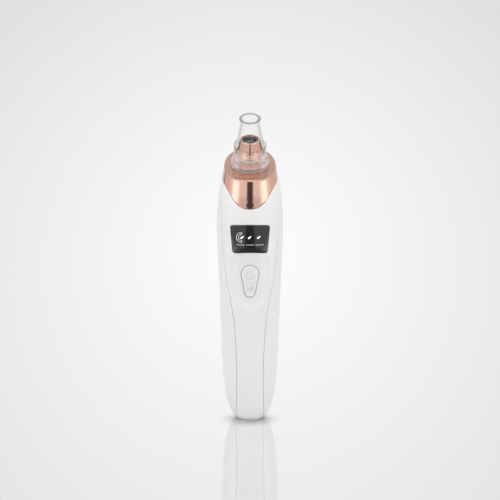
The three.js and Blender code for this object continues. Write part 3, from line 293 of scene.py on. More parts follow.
class PoreStageSizes(bpy.types.PropertyGroup):
    """Camera, light and floor"""

    camera_distance: size("Camera distance", "Distance of the camera from the middle of the view", 6000)
    camera_height: angle("Camera height", "Height of the camera above the horizon", 13)
    view_width: size("View width", "Width that the picture shows at the middle of the view", 286)
    view_middle: size("View middle", "Height of the middle of the view on the wand's axis", 97.5)
    daylight: share("Daylight", "Strength of the light from all round", 0.65, 4)
    backdrop: share("Backdrop", "Brightness that mirrors and clear pieces see all round", 0.93, 4)
    overhead: share("Overhead", "Brightness that mirrors see above the wand", 0.68, 4)
    # Painted pool of light: the floor's glow is brightest behind the middle of the wand and dims away from the
    # picture's middle
    glow: share("Glow", "Brightness of the background behind the middle of the wand", 0.985, 4)
    glow_fall: share("Glow fall", "Loss of brightness in a metre away from the middle of the picture", 1.014, 4)
    # Painted shadow: close to the foot the camera sees the floor in a darker grey than the bounce grey below, which
    # makes it deeper than the real shading
    painted_shadow_grey: share("Floor tone", "Grey of the floor under the lights", 0.33)
    floor_bounce: share("Floor bounce", "Grey of the floor for the light that it throws back up", 0.63)
    floor_mirror: share("Floor mirror", "Share of the floor near the wand that mirrors", 0.55)
    mirror_front: size("Mirror front", "How far the middle of the floor's mirror strip lies in front of the axis", 115)
    mirror_width: size("Mirror width", "Half width of the floor's mirror strip", 24)
    mirror_depth: size("Mirror depth", "Half depth of the floor's mirror strip", 200)
    # Reach and middle of the painted shadow under the foot
    shadow_reach: size("Shadow reach", "Distance where the shadow under the foot has run out", 20)
    shadow_front: size("Shadow front", "How far the middle of the shadow lies in front of the axis", 9)
    side_light: share("Side light", "Brightness of the two large side lights", 2.05, 10)
    top_light: share("Top light", "Brightness of the light above", 3.3, 10)
    top_light_place: size("Top light place", "How far the light above lies behind the axis", -250)
    side_glow: share("Side glow", "Brightness of the two lights that only mirrors see", 1.8, 10)
    side_shade: share("Side shade", "Brightness of the two side cards that only mirrors see", 0.75, 10)
    edge_shade: share("Edge shade", "Brightness of the two cards that the edges of clear pieces see", 0.12, 10)


# Numbers on arrays

def smooth_through(table, column, level):
    """Values of the smooth curve through a table's stations; flat where it turns, so that it never overshoots."""
    levels, values = table[:, 0], table[:, column]
    secants = np.diff(values) / np.diff(levels)
    before = np.concatenate([secants[:1], secants])
    after = np.concatenate([secants, secants[-1:]])
    rising = before * after > 0
    slopes = np.where(rising, 2 * before * after / np.where(rising, before + after, 1), 0)
    i = np.clip(np.searchsorted(levels, level) - 1, 0, len(levels) - 2)
    span = levels[i + 1] - levels[i]
    t = (level - levels[i]) / span
    u = 1 - t
    rise = u * u * (1 + 2 * t) * values[i] + t * t * (1 + 2 * u) * values[i + 1]
    return rise + t * u * span * (u * slopes[i] - t * slopes[i + 1])


def ease(value, low, high):
    """Smooth step from 0 at low to 1 at high."""
    t = np.clip((value - low) / (high - low), 0, 1)
    return t * t * (3 - 2 * t)


def ramp(value, low, high, crease):
    """Straight ramp from 0 at low to 1 at high with rounded ends."""
    t = np.clip((value - low) / (high - low), 0, 1)
    fall = 2 * crease * (1 - crease)
    foot = t * t / fall
    top = 1 - (1 - t) ** 2 / fall
    return np.where(t < crease, foot, np.where(t > 1 - crease, top, (t - crease / 2) / (1 - crease)))


def unit(vectors):
    """Vectors scaled to length 1."""
    return vectors / np.maximum(np.linalg.norm(vectors, axis=-1, keepdims=True), 1e-12)


def distances(chain):
    """Distance along a chain of each of its points."""
    return np.concatenate([[0], np.cumsum(np.linalg.norm(np.diff(chain, axis=0), axis=1))])


def spaced(loop, count):
    """Given number of evenly spaced points of a closed flat loop."""
    chain = np.vstack([loop, loop[:1]])
    along = distances(chain)
    places = np.linspace(0, along[-1], count, endpoint=False)
    return np.column_stack([np.interp(places, along, chain[:, k]) for k in range(2)])


def respaced(loop, spacing):
    """Points of a closed flat loop, about a spacing apart."""
    length = distances(np.vstack([loop, loop[:1]]))[-1]
    return spaced(loop, max(1, round(length / spacing)))


def around(sides):
    """Evenly spaced turns of a circle."""
    return np.linspace(0, FULL_TURN, sides, endpoint=False)


def swung(turns, first=(1, 0), second=(0, 1)):
    """Directions at turns from a first direction towards a second one."""
    return np.cos(turns)[:, None] * np.array(first) + np.sin(turns)[:, None] * np.array(second)


def level_ring(radius, height, sides):
    """Points of a level circle about the upright axis."""
    return np.column_stack([radius * swung(around(sides)), np.full(sides, height)])


def solved(function, low, high, steps=50):
    """Place between two arrays of limits where a rising function is zero."""
    low, high = np.array(low, float), np.array(high, float)
    for _ in range(steps):
        middle = (low + high) / 2
        above = function(middle) > 0
        high = np.where(above, middle, high)
        low = np.where(above, low, middle)
    return (low + high) / 2


class BodySkin:
    """Surface of the body, at any depth, over a turn round the axis and a height."""

    SPREAD = 17 * MM
    FOOT_RISE = 12 * MM
    SEAM_BLEND = 0.6 * MM
    SIDE_BEND = 2 * MM
    TRIM = 0.008 * MM
    STEP = 1e-5

    def __init__(self, scene):
        self.body = scene.pore_body
        self.controls = scene.pore_controls
        self.head = scene.pore_head
        self.key_z = self.body.head_height - self.controls.key_drop
        self.display_z = self.body.head_height - self.controls.display_drop
        self.top = self.body.head_height * OUTLINE[-1, 0]
        tilt = self.body.head_tilt
        self.head_normal = np.array([0, -math.sin(tilt), math.cos(tilt)])
        self.head_place = np.array([0, self.body.head_offset, self.body.head_height])
        levels = np.linspace(0, self.top, 2000)
        width, front, back = self.half_sizes(levels)
        outward = np.gradient((2 * width + front + back) / 4, levels)
        self.level_table = levels
        self.climb_table = np.concatenate([[0], np.cumsum(np.hypot(1, outward)[1:] * np.diff(levels))])

    def half_sizes(self, z):
        level = z / self.body.head_height
        return (
            self.body.width / 2 * smooth_through(OUTLINE, 1, level),
            self.body.front_reach * smooth_through(OUTLINE, 2, level),
            self.body.back_reach * smooth_through(OUTLINE, 3, level),
        )

    def grip_wave(self, z, sine):
        phase = (self.body.grip_top - z) / self.body.grip_pitch
        last = GRIP_WAVES - 1
        fade = ease(phase, -GRIP_FADE, 0) * (1 - ease(phase, last, last + GRIP_FADE))
        behind = ease(sine, *GRIP_FRONT)
        depth = self.body.grip_side + (self.body.grip_back - self.body.grip_side) * np.maximum(sine, 0)
        return fade * behind * depth * np.cos(FULL_TURN * phase)

    def thumb_dish(self, x, z):
        controls = self.controls
        fall = np.minimum(z - self.key_z - controls.dish_rise, 0)
        radius = np.hypot(x / controls.dish_half_width, fall / controls.dish_half_height)
        edge = 1 - ramp(radius, controls.dish_flat, 1, DISH_CREASE)
        fade = 1 - ease(z - self.key_z, controls.dish_fade_start, controls.dish_fade_end)
        return controls.dish_depth * edge * fade

    def points(self, turn, z, inset=0.0, plain=False):
        turn, z = np.broadcast_arrays(np.asarray(turn, float), np.asarray(z, float))
        width, front, back = self.half_sizes(z)
        cosine, sine = np.cos(turn), np.sin(turn)
        is_front = sine < 0
        power = np.where(is_front, FRONT_SQUARENESS, BACK_SQUARENESS)
        rounding = (np.abs(cosine) ** power + np.abs(sine) ** power) ** (1 / power)
        across, along = cosine / rounding, sine / rounding
        swell = -inset - self.TRIM
        if not plain:
            swell = swell + self.grip_wave(z, np.sign(along) * np.abs(along) ** (power / 2))
        x = (width + swell) * across
        y = (np.where(is_front, front, back) + swell) * along
        if not plain:
            y = y + np.where(is_front, self.thumb_dish(x, z), 0)
        return np.stack([x, y, z], axis=-1)

    def normals(self, turn, z, plain=False):
        low = np.maximum(z - self.STEP, 0)
        right = self.points(turn + self.STEP, z, 0, plain) - self.points(turn - self.STEP, z, 0, plain)
        up = self.points(turn, z + self.STEP, 0, plain) - self.points(turn, low, 0, plain)
        return unit(np.cross(right, up))

    def layer(self, turn, z, depth):
        """Points of the outer surface, or of the plain inner one that ends above the foot."""
        if depth == 0:
            return self.points(turn, z)
        lifted = z + depth * np.maximum(0, 1 - z / self.FOOT_RISE)
        return self.points(turn, lifted, depth, True)

    def turn_at(self, x, z, front=True):
        """Turn of the surface point at a place of the front view, or of the back half."""
        width = self.half_sizes(z)[0]
        power = FRONT_SQUARENESS if front else BACK_SQUARENESS
        ratio = np.clip(np.abs(x) / width, 1e-9, 1 - 1e-9)
        lean = np.arctan((ratio ** -power - 1) ** (1 / power))
        side = np.where(np.asarray(x) >= 0, lean, math.pi - lean)
        return -side if front else side

    def front_points(self, outline, inset=0.0, plain=False):
        """Surface points in front of an outline of x and z pairs."""
        x, z = outline[:, 0], outline[:, 1]
        return self.points(self.turn_at(x, z), z, inset, plain)

    def plane(self, turn, z):
        """Flat millimetre places that keep triangles of the surface well shaped."""
        climb = np.interp(z, self.level_table, self.climb_table)
        return np.stack([np.broadcast_to(turn, climb.shape) * self.SPREAD, climb], axis=-1) / MM

    def unplane(self, flat):
        turn = flat[:, 0] * MM / self.SPREAD
        return turn, np.interp(flat[:, 1] * MM, self.climb_table, self.level_table)

    def turn_of(self, points, near):
        """Turn of points close to the surface, as the whole turn nearest to a given one."""
        width, front, back = self.half_sizes(np.clip(points[:, 2], 0, self.top))
        reach = np.where(points[:, 1] < 0, front, back)
        turn = np.arctan2(points[:, 1] / reach, points[:, 0] / width)
        return turn + FULL_TURN * np.round((near - turn) / FULL_TURN)

    def above_face(self, points):
        """Height of points above the collar's sloping face."""
        return (points - self.head_place) @ self.head_normal

    def seam_height(self, turn, grow, inset=0.0):
        """Height where the collar's lower edge, lowered by grow, crosses the surface."""
        head = self.head
        radius = head.tongue_radius + grow
        middle = self.body.head_height - head.tongue_drop + head.tongue_radius
        bend = radius * math.sin(head.tongue_slope)
        bend_z = middle - radius * math.cos(head.tongue_slope)

        def above_tongue(z):
            points = self.points(turn, z, inset, True)
            behind = np.maximum(points[..., 1], 0)
            x = np.abs(points[..., 0]) + behind ** 2 / (behind + self.SIDE_BEND)
            arc = middle - np.sqrt(np.maximum(radius ** 2 - x ** 2, 0))
            side = bend_z + (x - bend) * math.tan(head.tongue_slope)
            return points[..., 2] - np.where(x < bend, arc, side)

        start = np.zeros_like(turn)
        ring = self.face_height(turn, inset, -head.collar_depth - grow)
        tongue = solved(above_tongue, start + 0.7 * self.body.head_height, start + self.top)
        blend = np.maximum(self.SEAM_BLEND - np.abs(ring - tongue), 0)
        return np.minimum(ring, tongue) - blend ** 2 / (4 * self.SEAM_BLEND)

    def face_height(self, turn, inset, offset=0.0):
        """Height where a plane along the collar's face crosses the surface."""
        start = np.zeros_like(turn)
        return solved(
            lambda z: self.above_face(self.points(turn, z, inset, True)) - offset,
            start + 0.5 * self.body.head_height,
            start + self.top,
        )

    def cover_turn(self, z, grow):
        """Turn of the front shell's right edge, moved by grow along the surface; it never runs behind cover_back."""
        half = self.body.width / 2 * smooth_through(COVER_EDGE, 1, z / self.body.head_height)
        along = self.body.cover_back / self.half_sizes(z)[1]
        across = (1 - along ** FRONT_SQUARENESS) ** (1 / FRONT_SQUARENESS)
        turn = -(self.turn_at(half, z) ** 4 + np.arctan2(along, across) ** 4) ** 0.25
        stride = self.points(turn + self.STEP, z) - self.points(turn - self.STEP, z)
        return turn + grow * 2 * self.STEP / np.linalg.norm(stride, axis=-1)


# Meshes

def even_odd(loops, places):
    """Which flat places lie inside the loops, holes left out."""
    inside = np.zeros(len(places), bool)
    x, y = places[:, :1], places[:, 1:]
    for loop in loops:
        ahead = np.roll(loop, -1, axis=0)
        crosses = (loop[:, 1] > y) != (ahead[:, 1] > y)
        rise = np.where(ahead[:, 1] == loop[:, 1], 1, ahead[:, 1] - loop[:, 1])
        at = loop[:, 0] + (y - loop[:, 1]) * (ahead[:, 0] - loop[:, 0]) / rise
        inside ^= (np.count_nonzero(crosses & (x < at), axis=1) % 2).astype(bool)
    return inside


def seeds_within(loops, spacing):
    """Staggered flat places inside loops and clear of their edges."""
    rim = np.concatenate(loops)
    low, high = rim.min(0), rim.max(0)
    row_step = spacing * math.sqrt(3) / 2
    rows = np.arange(low[1] + row_step / 2, high[1], row_step)
    places = []
    for i, row in enumerate(rows):
        columns = np.arange(low[0] + spacing * (0.5 + (i % 2) / 2), high[0], spacing)
        places.append(np.column_stack([columns, np.full(len(columns), row)]))
    places = np.concatenate(places)
    places = places[even_odd(loops, places)]
    gaps = np.array([np.min(np.sum((rim - spot) ** 2, axis=1)) for spot in places])
    return places[gaps > (SEED_ROOM * spacing) ** 2]


def filled(loops, seeds):
    """Triangles between closed flat loops and through seeds, as indices into loops and seeds in order."""
    flat = np.concatenate([*loops, seeds])
    edges = []
    start = 0
    for loop in loops:
        count = len(loop)
        edges += [(start + i, start + (i + 1) % count) for i in range(count)]
        start += count
    _, _, faces, origin, _, _ = delaunay_2d_cdt([Vector(spot) for spot in flat], edges, [], 0, WELD)
    faces = np.array([[origin[v][0] for v in face] for face in faces])
    keep = even_odd(loops, flat[faces].mean(axis=1))
    return faces[keep]


class Build:
    """Points and faces of one piece while it is made."""

    def __init__(self):
        self.points = []
        self.faces = []
        self.finishes = []
        self.count = 0

    def add(self, points):
        start = self.count
        self.points.append(np.asarray(points, float).reshape(-1, 3))
        self.count += len(self.points[-1])
        return np.arange(start, self.count)

    def face(self, corners, finish=0):
        self.faces.append([int(c) for c in corners])
        self.finishes.append(finish)

    def strip(self, left, right, closed=True, finish=0):
        """Four-sided faces between two rows of points."""
        count = len(left)
        for i in range(count if closed else count - 1):
            j = (i + 1) % count
            self.face((left[i], right[i], right[j], left[j]), finish)

    def loft(self, rows, closed_rows=False, finishes=None):
        """Faces over closed rows of points in order; closed_rows joins the last row to the first."""
        made = [self.add(row) for row in rows]
        pairs = list(zip(made, made[1:] + made[:1])) if closed_rows else list(zip(made, made[1:]))
        for i, (low, high) in enumerate(pairs):
            self.strip(high, low, finish=finishes[i] if finishes else 0)
        return made

    def fan(self, row, middle):
        """Triangles from a closed row of points to one in its middle."""
        centre = self.add([middle])[0]
        for i in range(len(row)):
            self.face((row[i], row[(i + 1) % len(row)], centre))

    def triangles(self, index, faces, flip=False):
        for a, b, c in faces:
            self.face((index[c], index[b], index[a]) if flip else (index[a], index[b], index[c]))

    def mesh(self, name):
        """Welded mesh with outward faces."""
        mesh = bpy.data.meshes.new(name)
        mesh.from_pydata(np.concatenate(self.points).tolist(), [], self.faces)
        mesh.polygons.foreach_set("material_index", self.finishes)
        work = bmesh.new()
        work.from_mesh(mesh)
        bmesh.ops.remove_doubles(work, verts=work.verts, dist=2e-6)
        bmesh.ops.dissolve_degenerate(work, edges=work.edges, dist=1e-7)
        loose = [v for v in work.verts if not v.link_faces]
        bmesh.ops.delete(work, geom=loose, context="VERTS")
        bmesh.ops.recalc_face_normals(work, faces=work.faces)
        if work.calc_volume(signed=True) < 0:
            bmesh.ops.reverse_faces(work, faces=work.faces)
        work.to_mesh(mesh)
        work.free()
        return mesh


def lofted(name, rows, ends=None, finishes=None):
    """Mesh over closed rows of points; fans to two points close its ends, or else the last row joins the first."""
    build = Build()
    made = build.loft(rows, ends is None, finishes)
    for row, end in zip((made[0], made[-1]), ends or ()):
        build.fan(row, end)
    return build.mesh(name)


def place(name, mesh, finishes, body, nodes=(), sharp=35):
    """Piece with its finishes, riding on a body and standing for CAD nodes; faces that turn by sharp degrees crease."""
    mesh.shade_smooth()
    mesh.set_sharp_from_angle(angle=math.radians(sharp))
    obj = bpy.data.objects.new(name, mesh)
    bpy.context.scene.collection.objects.link(obj)
    if mesh.materials:
        mesh.materials.clear()
    for finish in finishes:
        mesh.materials.append(finish)
    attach(obj, body)
    if nodes:
        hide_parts(*nodes)


def combined(mesh, tools, operation):
    """Mesh joined with, cut by or kept inside other meshes."""
    scene = bpy.context.scene
    base = bpy.data.objects.new("work", mesh)
    scene.collection.objects.link(base)
    helpers = []
    for tool in tools:
        helper = bpy.data.objects.new("tool", tool)
        scene.collection.objects.link(helper)
        helpers.append(helper)
        modifier = base.modifiers.new("join", "BOOLEAN")
        modifier.operation = operation
        modifier.solver = "MANIFOLD"
        modifier.object = helper
    bpy.context.view_layer.update()
    made = bpy.data.meshes.new_from_object(base.evaluated_get(bpy.context.evaluated_depsgraph_get()))
    for obj in [base, *helpers]:
        bpy.data.objects.remove(obj)
    if not made.polygons:
        raise RuntimeError(f"{mesh.name}: nothing is left of the mesh after {operation}")
    made.name = mesh.name
    return made


def block_mesh(low, high):
    """Box between two corners."""
    build = Build()
    ring = [(low[0], low[1]), (high[0], low[1]), (high[0], high[1]), (low[0], high[1])]
    rows = [build.add([(x, y, z) for x, y in ring]) for z in (low[2], high[2])]
    build.strip(rows[1], rows[0])
    build.face(rows[0][::-1])
    build.face(rows[1])
    return build.mesh("block")


def rod_mesh(radius, start, end, sides=48):
    """Round bar between two points."""
    start, end = np.array(start, float), np.array(end, float)
    axis = unit(end - start)
    helper = np.array([1, 0, 0]) if abs(axis[0]) < 0.9 else np.array([0, 1, 0])
    first = unit(np.cross(axis, helper))
    ring = radius * swung(around(sides), first, np.cross(axis, first))
    return lofted("rod", [ring + start, ring + end], (start, end))


def corner_curve(here, back, on, radius, steps):
    """Points over a corner between the way back and the way on; radius is its reach, where there is room."""
    start, end = (
        here + unit(way) * np.minimum(radius, CORNER_ROOM * np.linalg.norm(way, axis=-1, keepdims=True))
        for way in (back, on)
    )
    return [(1 - t) ** 2 * start + 2 * t * (1 - t) * here + t * t * end for t in np.linspace(0, 1, steps + 1)]


def rounded(corners, steps=4):
    """Closed flat profile from corners of x, y and radius, with each corner turned into an arc-like curve."""
    places = np.array([corner[:2] for corner in corners], float)
    made = []
    for i, (here, corner) in enumerate(zip(places, corners)):
        back, on = places[i - 1] - here, places[(i + 1) % len(corners)] - here
        made += corner_curve(here, back, on, corner[2], steps) if corner[2] > 0 else [here]
    return np.array(made)


def softened(rows, radii, finishes, steps=5):
    """Rows of a closed loft with a rounded corner wherever a row has a radius."""
    made, kinds = [], []
    for i, row in enumerate(rows):
        if radii[i] > 0:
            made += corner_curve(row, rows[i - 1] - row, rows[(i + 1) % len(rows)] - row, radii[i], steps)
            kinds += [int(finishes[i - 1])] * steps
        else:
            made.append(row)
        kinds.append(int(finishes[i]))
    return made, kinds


def turned_mesh(name, corners, matrix, sides=128, steps=4, finish=None):
    """Body turned about the upright axis from a closed profile of radius, height and corner radius.

    finish gives the number of the finish at a radius and a height."""
    profile = rounded(corners, steps)
    middles = (profile + np.roll(profile, -1, axis=0)) / 2
    rings = [level_ring(radius, height, sides) for radius, height in profile]
    mesh = lofted(name, rings, finishes=[finish(*middle) for middle in middles] if finish else None)
    mesh.transform(matrix)
    return mesh


def head_matrix(body):
    """Place of the tilted head."""
    return Matrix.Translation((0, body.head_offset, body.head_height)) @ Matrix.Rotation(body.head_tilt, 4, "X")


# Outlines in the front view

def window_outline(skin, grow, spacing=0.4 * MM):
    """Trapezoid of the display with round corners, grown all round, anticlockwise."""
    controls = skin.controls
    high = skin.display_z + controls.window_height / 2 + grow
    low = skin.display_z - controls.window_height / 2 - grow
    top, bottom = controls.window_top / 2 + grow, controls.window_bottom / 2 + grow
    corner = controls.window_corner + grow
    shape = rounded([(-bottom, low, corner), (bottom, low, corner), (top, high, corner), (-top, high, corner)], 8)
    outline = respaced(shape, spacing)
    half = bottom + (top - bottom) * (outline[:, 1] - low) / (high - low)
    outline[:, 1] += controls.window_arch * (1 - (outline[:, 0] / half) ** 2)
    return outline


def key_outline(skin, grow, spacing=0.3 * MM):
    """Egg of the key between a large upper and a small lower circle, grown all round, anticlockwise."""
    controls = skin.controls
    high = skin.key_z + controls.key_height / 2
    upper = high - controls.key_upper
    lower = high - controls.key_height + controls.key_lower
    lean = math.asin((controls.key_upper - controls.key_lower) / (upper - lower))
    top = np.linspace(-lean, math.pi + lean, 60)
    bottom = np.linspace(math.pi + lean, FULL_TURN - lean, 40)
    big, small = controls.key_upper + grow, controls.key_lower + grow
    shape = np.vstack([big * swung(top) + (0, upper), small * swung(bottom) + (0, lower)])
    return respaced(shape, spacing)


# Skin pieces with moulded edges

def edge_profile(radius, depth, steps=4):
    """Inward and depth pairs of a rounded edge that then goes straight down."""
    turns = np.linspace(0, math.pi / 2, steps + 1)
    pairs = [(radius * (1 - math.sin(t)), radius * (1 - math.cos(t))) for t in turns]
    return [*pairs, (0, depth)]


def rim_rings(skin, edge, profile):
    """Rings along an edge of the skin, and the flat places they lie at; the piece lies to the left of the edge.

    The rounding gets smaller towards the ends of the edge's chains, which are its last row of numbers."""
    turn, z, room = edge
    line = skin.points(turn, z)
    normals = skin.normals(turn, z)
    along = unit(np.roll(line, -1, axis=0) - np.roll(line, 1, axis=0))
    inward = unit(np.cross(normals, along))
    radius = profile[0][0]
    fit = np.minimum(1, 0.2 * room / radius)[:, None]
    rings, places = [], []
    for offset, depth in profile:
        flat = line + inward * offset * (fit if offset > 0 else 1)
        rings.append(flat - normals * depth * (fit if depth <= radius else 1))
        places.append(skin.plane(skin.turn_of(flat, turn), np.clip(flat[:, 2], 0, skin.top)))
    return rings, places


def skin_piece(skin, edges, profiles, spacing, back_spacing, wall, cut=False):
    """Moulded piece of the skin between edges, the outer one first; each edge has its own profile down to the wall.

    cut opens a piece that goes all round along the front, and gives its foot rings; spacings are in millimetres."""
    build = Build()
    front_loops, back_loops, front_index, back_index = [], [], [], []
    for edge, profile in zip(edges, profiles):
        rings, places = rim_rings(skin, edge, profile)
        rows = [build.add(ring) for ring in rings]
        for upper, lower in zip(rows, rows[1:]):
            build.strip(upper, lower)
        front_loops.append(places[0])
        back_loops.append(places[-1])
        front_index.append(rows[0])
        back_index.append(rows[-1])
    faces = ((front_loops, front_index, 0, spacing), (back_loops, back_index, wall, back_spacing))
    feet = []
    if cut:
        for loops, index, depth, _ in faces:
            loops[0], index[0], foot = opened(skin, build, loops[0], index[0], depth, spacing)
            feet.append(foot)
    for loops, index, depth, step in faces:
        seeds = seeds_within(loops, step)
        turn, z = skin.unplane(seeds)
        order = np.concatenate([*index, build.add(skin.layer(turn, z, depth))])
        build.triangles(order, filled(loops, seeds), flip=depth > 0)
    return build, feet


def opened(skin, build, loop, index, depth, spacing):
    """Closes a loop that goes once round the body with a cut down the front and a ring along the foot."""
    low = loop[0, 1]
    count = max(2, math.ceil(low / spacing))
    climb = np.linspace(low, 0, count + 1)
    circuit = np.linspace(FRONT, FRONT + FULL_TURN, FOOT_POINTS) * skin.SPREAD / MM
    flat = np.concatenate([
        np.column_stack([np.full(count + 1, circuit[0]), climb]),
        np.column_stack([circuit, np.zeros(len(circuit))])[1:],
        np.column_stack([np.full(count, circuit[-1]), climb[::-1][1:]])[:-1],
    ])
    points = skin.layer(*skin.unplane(flat), depth)
    points[0] = np.concatenate(build.points)[index[0]]
    made = build.add(points)
    foot = made[count:count + len(circuit) - 1]
    return np.concatenate([loop, flat]), np.concatenate([index, made]), foot


def cover_edges(skin, grow, low):
    """Turns of the front shell's right and left edges, and their heights, from the bottom up to the collar's seam."""
    tall = skin.body.head_height

    def reached(z):
        return z - skin.seam_height(skin.cover_turn(z, grow), skin.body.seam)

    z = np.linspace(low, float(solved(reached, [0.75 * tall], [tall])[0]), 500)
    turn = skin.cover_turn(z, grow)
    return turn, -math.pi - turn, z


def chained(skin, chains, corner, spacing=0.5 * MM):
    """Evenly spaced turns and heights along chains that follow each other round an edge, and the room to a corner.

    Each chain is a row of turns, a row of heights, and whether a corner is taken off its start and its end."""
    turns, heights, rooms = [], [], []
    for turn, z, start, end in chains:
        along = distances(skin.points(turn, z))
        count = max(2, round(along[-1] / spacing))
        places = np.linspace(corner * start, along[-1] - corner * end, count, endpoint=end)
        turns.append(np.interp(places, along, turn))
        heights.append(np.interp(places, along, z))
        rooms.append(np.minimum(places if start else 1, along[-1] - places if end else 1))
    return np.concatenate(turns), np.concatenate(heights), np.concatenate(rooms)


def outline_edge(skin, outline, front=True):
    """Edge along a flat outline seen from the front, with no corners to keep clear of."""
    x, z = outline[:, 0], outline[:, 1]
    return skin.turn_at(x, z, front), z, np.ones(len(x))


def front_shell_mesh(skin):
    """White front shell with the display seat, the key opening and the board's bosses."""
    body, controls = skin.body, skin.controls
    low = body.cover_bottom + body.cover_seam / 2
    right, left, z = cover_edges(skin, -body.cover_seam / 2, low)
    seam = np.linspace(right[-1], left[-1], 600)
    outer = chained(skin, [
        (np.linspace(left[0], right[0], 200), np.full(200, low), True, True),
        (right, z, True, True),
        (seam, skin.seam_height(seam, body.seam), True, True),
        (left[::-1], z[::-1], True, True),
    ], body.seam)
    seat = outline_edge(skin, window_outline(skin, body.seam)[::-1])
    opening = outline_edge(skin, key_outline(skin, controls.key_gap)[::-1])
    seat_depth = controls.window_thickness + body.seam
    ledge = controls.window_ledge
    profiles = [
        edge_profile(body.edge_round, body.wall),
        [*edge_profile(SEAT_ROUND, seat_depth), (-ledge, seat_depth), (-ledge, body.wall)],
        edge_profile(OPENING_ROUND, body.wall),
    ]
    build, _ = skin_piece(skin, [outer, seat, opening], profiles, 0.8, 2.5, body.wall)
    bosses, bores = [], []
    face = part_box("main_board")[0].y - body.seam
    for i in range(1, 5):
        low_corner, high_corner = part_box(f"board_screw_{i}")
        x, z = (low_corner.x + high_corner.x) / 2, (low_corner.z + high_corner.z) / 2
        wall_y = float(skin.front_points(np.array([[x, z]]), body.wall / 2, True)[0, 1])
        bosses.append(rod_mesh(BOSS, (x, wall_y, z), (x, face, z)))
        bores.append(rod_mesh(BOSS_BORE, (x, low_corner.y - body.seam, z), (x, face + body.seam, z)))
    return combined(combined(build.mesh("front_shell"), bosses, "UNION"), bores, "DIFFERENCE")


def loft_mesh(skin, inset, low, high, sides=120, rows=70):
    """Closed body surface at a depth, between two heights."""
    rings = [skin.points(around(sides), z, inset, True) for z in np.linspace(low, high, rows)]
    return lofted("loft", rings, ((0, 0, low), (0, 0, high)))


def back_supports(skin):
    """Ribs, shelf, rails and bosses inside the back shell, placed by the pieces that they carry."""
    body = skin.body
    seam, far = body.seam, body.width
    sleeve_low, sleeve_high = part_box("pump_sleeve")
    cell_low, cell_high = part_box("battery_cell")
    board_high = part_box("charge_board")[1]
    cell_y = (cell_low.y + cell_high.y) / 2
    sleeve_y = (sleeve_low.y + sleeve_high.y) / 2
    middle = (sleeve_low.z + sleeve_high.z) / 2
    shelf_low = board_high.z + seam
    shelf_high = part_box("battery_tab_bottom")[0].z - seam
    blocks = [block_mesh((-far, cell_y, shelf_low), (far, far, shelf_high))]
    levels = [(sleeve_y, middle + rise) for rise in SLEEVE_RIBS]
    levels += [(cell_y, CELL_RIB_RISE), (cell_y, cell_high.z - CELL_RIB_DROP)]
    blocks += [block_mesh((-far, y, z), (far, far, z + RIB)) for y, z in levels]
    ribs = combined(blocks[0], blocks[1:], "UNION")
    sleeve = rod_mesh(
        (sleeve_high.x - sleeve_low.x) / 2 + seam,
        (0, sleeve_y, sleeve_low.z - SLEEVE_ROOM), (0, sleeve_y, sleeve_high.z + SLEEVE_ROOM),
    )
    cell = rod_mesh(cell_high.x + seam, (0, cell_y, shelf_high), (0, cell_y, cell_high.z + seam))
    ribs = combined(ribs, [sleeve, cell], "DIFFERENCE")
    posts, bores = [], []
    for side, screw in ((-1, "clamp_screw_1"), (1, "clamp_screw_2")):
        inner, outer = sorted((side * (board_high.x + seam), side * (board_high.x + seam + RAIL)))
        posts.append(block_mesh((inner, body.socket_place, body.wall / 2), (outer, far, shelf_low + seam)))
        low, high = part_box(screw)
        x = (low.x + high.x) / 2
        face = sleeve_y + seam
        posts.append(rod_mesh(BOSS, (x, face, middle), (x, far, middle)))
        bores.append(rod_mesh(BOSS_BORE, (x, face - seam, middle), (x, high.y + seam, middle)))
    ribs = combined(combined(ribs, posts, "UNION"), bores, "DIFFERENCE")
    inside = loft_mesh(skin, body.wall / 2, body.wall / 2, RIBS_TOP * body.head_height)
    return combined(ribs, [inside], "INTERSECT")


def back_shell_mesh(skin):
    """White back shell with the foot, the grip waves, the exhaust slots and the charging slot."""
    body = skin.body
    low = body.cover_bottom - body.cover_seam / 2
    right, left, z = cover_edges(skin, body.cover_seam / 2, low)
    left = left + FULL_TURN
    seam = np.linspace(left[-1], right[-1], 1400)
    level = np.full(120, low)
    outer = chained(skin, [
        (np.linspace(FRONT + FULL_TURN, left[0], 120), level, False, True),
        (left, z, True, True),
        (seam, skin.seam_height(seam, body.seam), True, True),
        (right[::-1], z[::-1], True, True),
        (np.linspace(right[0], FRONT, 120), level, True, False),
    ], body.seam)
    edges = [outer]
    profiles = [edge_profile(body.edge_round, body.wall)]
    half, corner = body.slot_width / 2, body.slot_height / 2
    for i in range(EXHAUST_SLOTS):
        low = body.head_height - body.slot_drop - i * body.slot_pitch
        high = low + body.slot_height
        shape = rounded([(half, low, corner), (half, high, corner), (-half, high, corner), (-half, low, corner)], 8)
        edges.append(outline_edge(skin, respaced(shape, EXHAUST_SPACING), False))
        profiles.append(edge_profile(EXHAUST_ROUND, body.wall))
    build, feet = skin_piece(skin, edges, profiles, 1.0, 3.0, body.wall, cut=True)
    slot_rows = charging_slot(skin, build)
    for foot, slot, flip in ((feet[0], slot_rows[0], True), (feet[1], slot_rows[-1], False)):
        loops = [points_flat(build, foot), points_flat(build, slot)]
        order = np.concatenate([foot, slot])
        build.triangles(order, filled(loops, NO_SEEDS), flip=flip)
    return combined(build.mesh("back_shell"), [back_supports(skin)], "UNION")


def points_flat(build, index):
    """Places of points in plan, in millimetres."""
    return np.concatenate(build.points)[index][:, :2] / MM


